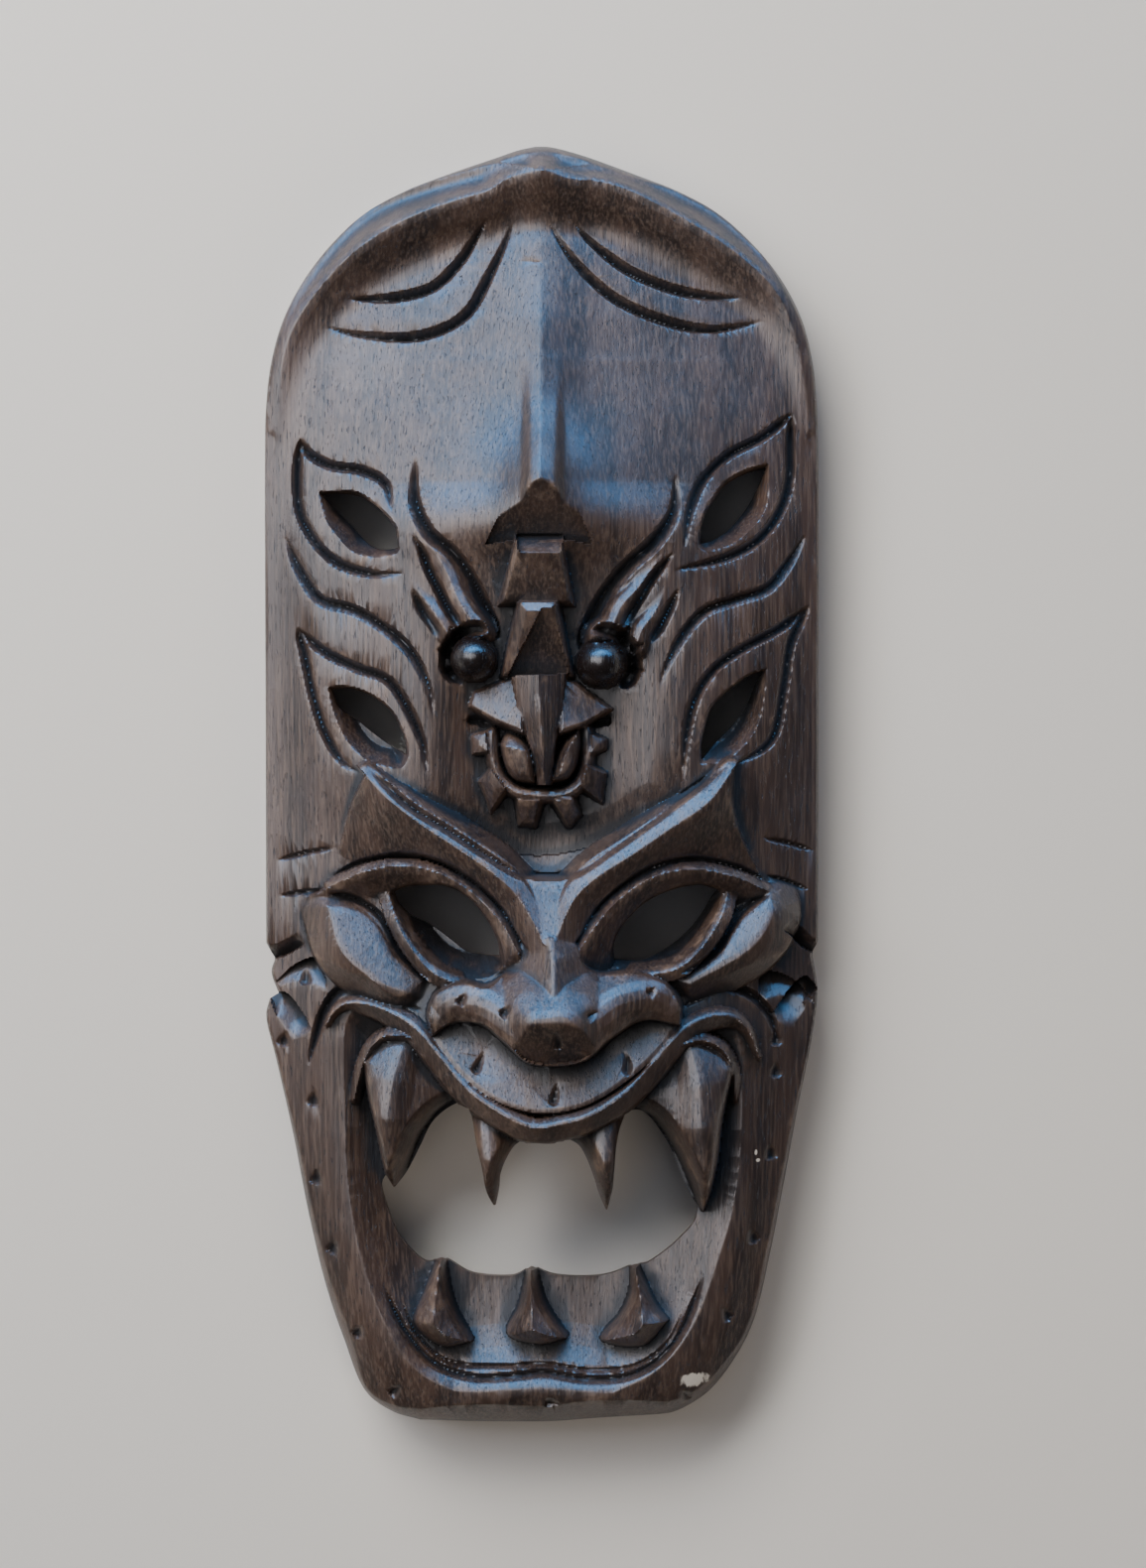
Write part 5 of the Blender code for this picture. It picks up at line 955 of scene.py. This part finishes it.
class Finish:
    """A material and the nodes made for it."""

    def __init__(self, name):
        self.material = bpy.data.materials.new(name)
        self.material.use_nodes = True
        self.tree = self.material.node_tree
        self.shader = self.tree.nodes["Principled BSDF"]

    def node(self, kind, settings=None, sockets=None, out=0):
        node = self.tree.nodes.new(kind)
        for key, value in (settings or {}).items():
            setattr(node, key, value)
        for key, value in (sockets or {}).items():
            self.put(node.inputs[key], value)
        return Value(self, node.outputs[out])

    def put(self, socket, value):
        if isinstance(value, Value):
            self.tree.links.new(value.socket, socket)
        else:
            socket.default_value = value

    def mix(self, share, first, second):
        """The first colour, with a share of the second."""
        return self.node("ShaderNodeMix", {"data_type": "RGBA"}, {0: share, 6: first, 7: second}, out=2)

    def stretched(self, across, along):
        """Object coordinates in grains: so many a metre across the wood and along it."""
        place = self.node("ShaderNodeTexCoord", out="Object")
        return self.node("ShaderNodeVectorMath", {"operation": "MULTIPLY"},
                         {0: place, 1: (across, along, across)})

    def noise(self, across, along, detail=3.0, rough=0.5, twist=0.0):
        return self.node("ShaderNodeTexNoise", {},
                         {"Vector": self.stretched(across, along), "Scale": 1.0, "Detail": detail,
                          "Roughness": rough, "Distortion": twist})

    def spot(self, centre, radii, ragged):
        """1 in a ragged oval round a place on the piece, 0 outside."""
        place = self.node("ShaderNodeTexCoord", out="Object")
        away = self.node("ShaderNodeVectorMath", {"operation": "SUBTRACT"}, {0: place, 1: centre})
        flat = self.node("ShaderNodeVectorMath", {"operation": "MULTIPLY"},
                         {0: away, 1: (1 / radii[0], 1 / radii[1], 0)})
        far = self.node("ShaderNodeVectorMath", {"operation": "LENGTH"}, {0: flat}, out="Value")
        return (1 - far + ragged).between(0, 0.3)

    def attribute(self, name):
        return self.node("ShaderNodeAttribute", {"attribute_name": name}, out="Fac")


def lacquered_wood():
    """Dark varnished hardwood with grain along the mask; edges rubbed pale with painted highlight, cuts in
    painted shade.
    """
    wood = Finish("lacquered_wood")
    wear_and_highlight = wood.attribute("wear_and_highlight")
    painted_shade = wood.attribute("painted_shade")
    face_side = wood.attribute("face_side")
    eyeball = wood.attribute("eyeball")
    bands = wood.noise(140, 9, 2, 0.5, 0.4)
    fibres = wood.noise(1300, 55, 3, 0.6)
    pores = wood.noise(2600, 230, 2, 0.5).between(0.63, 0.70)
    clouds = wood.noise(22, 14, 3, 0.55)
    scuffs = wood.noise(190, 120, 4, 0.65).between(0.45, 0.75)

    tone = wood.mix(bands.between(0.35, 0.65), (0.022, 0.012, 0.008, 1), (0.060, 0.034, 0.023, 1))
    tone = wood.mix(fibres.between(0.42, 0.68) * 0.62, tone, (0.140, 0.094, 0.068, 1))
    tone = wood.mix(clouds.between(0.4, 0.7) * 0.4, tone, (0.020, 0.012, 0.009, 1))
    tone = wood.mix(pores * 0.8, tone, (0.005, 0.003, 0.002, 1))
    rubbed_and_lit = wear_and_highlight * (0.2 + scuffs * 0.8)
    # rubbed wear on the raised edges, partly a painted highlight where the edges catch the light
    tone = wood.mix(rubbed_and_lit.between(0.12, 1.0) * 0.6, tone, (0.240, 0.160, 0.110, 1))
    # painted shade: the cuts and places lying deeper than their surroundings darkened to near black
    tone = wood.mix(painted_shade.between(0.03, 0.8) * 0.93, tone, (0.0035, 0.0022, 0.002, 1))
    tone = wood.mix(eyeball, tone, (0.010, 0.006, 0.005, 1))
    grain = wood.noise(700, 400, 3, 0.6) - 0.5
    chin, *specks = [wood.spot(centre, radii, grain * ragged) for centre, radii, ragged in CHIPS]
    chip = chin
    for speck in specks:
        chip = chip.most(speck)
    # a painted pale sheen on the left of the forehead, where light from the left falls on the varnish
    painted_sheen = wood.spot((-0.050, 0.118, 0.02), (0.013, 0.010), (clouds - 0.5) * 2 + grain * 1.5)
    tone = wood.mix(painted_sheen * face_side * 0.12, tone, (0.24, 0.22, 0.22, 1))
    tone = wood.mix(chip * face_side, tone, (0.80, 0.76, 0.70, 1))
    bare = wood.mix(fibres, (0.075, 0.043, 0.028, 1), (0.120, 0.072, 0.046, 1))
    wood.put(wood.shader.inputs["Base Color"], wood.mix(face_side, bare, tone))
    gloss = 0.36 + fibres * 0.14 + scuffs * 0.08 + painted_shade * 0.18 + (1 - face_side) * 0.2 + pores * 0.2
    gloss = gloss + chip * 0.3 - eyeball * 0.16
    wood.put(wood.shader.inputs["Roughness"], gloss)
    height = fibres * 0.6 + pores * -0.9 + scuffs * 0.25 + wood.noise(420, 60, 2, 0.5) * 0.6
    # the long low waves that the plane left
    height = height + wood.noise(48, 26, 2, 0.5) * 1.2
    bump = wood.node("ShaderNodeBump", {}, {"Strength": 0.8, "Distance": 0.00025, "Height": height})
    wood.put(wood.shader.inputs["Normal"], bump)
    wood.shader.inputs["Specular IOR Level"].default_value = 0.6
    wood.shader.inputs["Coat Weight"].default_value = 0.25
    wood.shader.inputs["Coat Roughness"].default_value = 0.3
    return wood.material


def pale_floor():
    """The plain ground the mask lies on."""
    floor = Finish("pale_floor")
    floor.shader.inputs["Base Color"].default_value = (0.80, 0.78, 0.75, 1)
    floor.shader.inputs["Roughness"].default_value = 0.7
    mesh = bpy.data.meshes.new("floor")
    mesh.from_pydata([(-3, -3, 0), (3, -3, 0), (3, 3, 0), (-3, 3, 0)], [], [(0, 1, 2, 3)])
    mesh.materials.append(floor.material)
    plane = bpy.data.objects.new("floor", mesh)
    bpy.context.scene.collection.objects.link(plane)


def softbox(name, place, aim, size, power, colour):
    """A rectangle of even light turned to its aim."""
    lamp = bpy.data.lights.new(name, "AREA")
    lamp.shape = "RECTANGLE"
    lamp.size, lamp.size_y = size
    lamp.energy = power
    lamp.color = colour
    lamp_object = bpy.data.objects.new(name, lamp)
    lamp_object.location = place
    away = np.array(aim, float) - np.array(place, float)
    lamp_object.rotation_euler = mathutils.Vector(away).to_track_quat("-Z", "Y").to_euler()
    bpy.context.scene.collection.objects.link(lamp_object)
    return lamp_object


def studio():
    """A high and a low blue window beyond the top, which only the sheen shows, and soft plain light."""
    world = bpy.data.worlds.new("studio")
    world.use_nodes = True
    sky = world.node_tree.nodes["Background"]
    sky.inputs["Color"].default_value = (0.85, 0.90, 1.0, 1)
    sky.inputs["Strength"].default_value = 0.07
    bpy.context.scene.world = world
    window = softbox("window", (-0.50, 2.02, 1.52), (0, 0.02, 0.02), (2.2, 1.3), 66, (0.20, 0.53, 1.0))
    window.visible_diffuse = False
    panes = softbox("low window", (-0.05, 2.30, 1.02), (0, 0.02, 0.02), (6.0, 0.8), 200, (0.12, 0.45, 1.0))
    panes.visible_diffuse = False
    daylight = softbox("daylight", (-0.55, 1.05, 0.90), (0, 0.02, 0.02), (1.0, 0.7), 28, (1.0, 0.95, 0.88))
    daylight.visible_glossy = False
    softbox("side", (-1.05, 0.45, 0.85), (0, 0.02, 0.02), (0.8, 0.6), 10, (0.95, 0.96, 1.0))
    room = softbox("room", (0.85, -0.9, 0.95), (0, 0, 0.02), (0.9, 0.7), 5, (1.0, 0.85, 0.70))
    room.visible_glossy = False
    ceiling = softbox("ceiling", (-0.50, 0.40, 1.6), (0, 0, 0), (1.3, 1.1), 22, (0.97, 0.96, 1.0))
    ceiling.visible_diffuse = False


def camera():
    """Straight above, a little to the right of the mask's middle."""
    view = bpy.data.cameras.new("camera")
    view.sensor_width = SENSOR
    view.lens = LENS
    view_object = bpy.data.objects.new("camera", view)
    view_object.location = CAMERA_PLACE
    bpy.context.scene.collection.objects.link(view_object)
    bpy.context.scene.camera = view_object


mask = carved_mask()
mask.data.materials.append(lacquered_wood())
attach(mask, "root")
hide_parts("mask")
pale_floor()
studio()
camera()
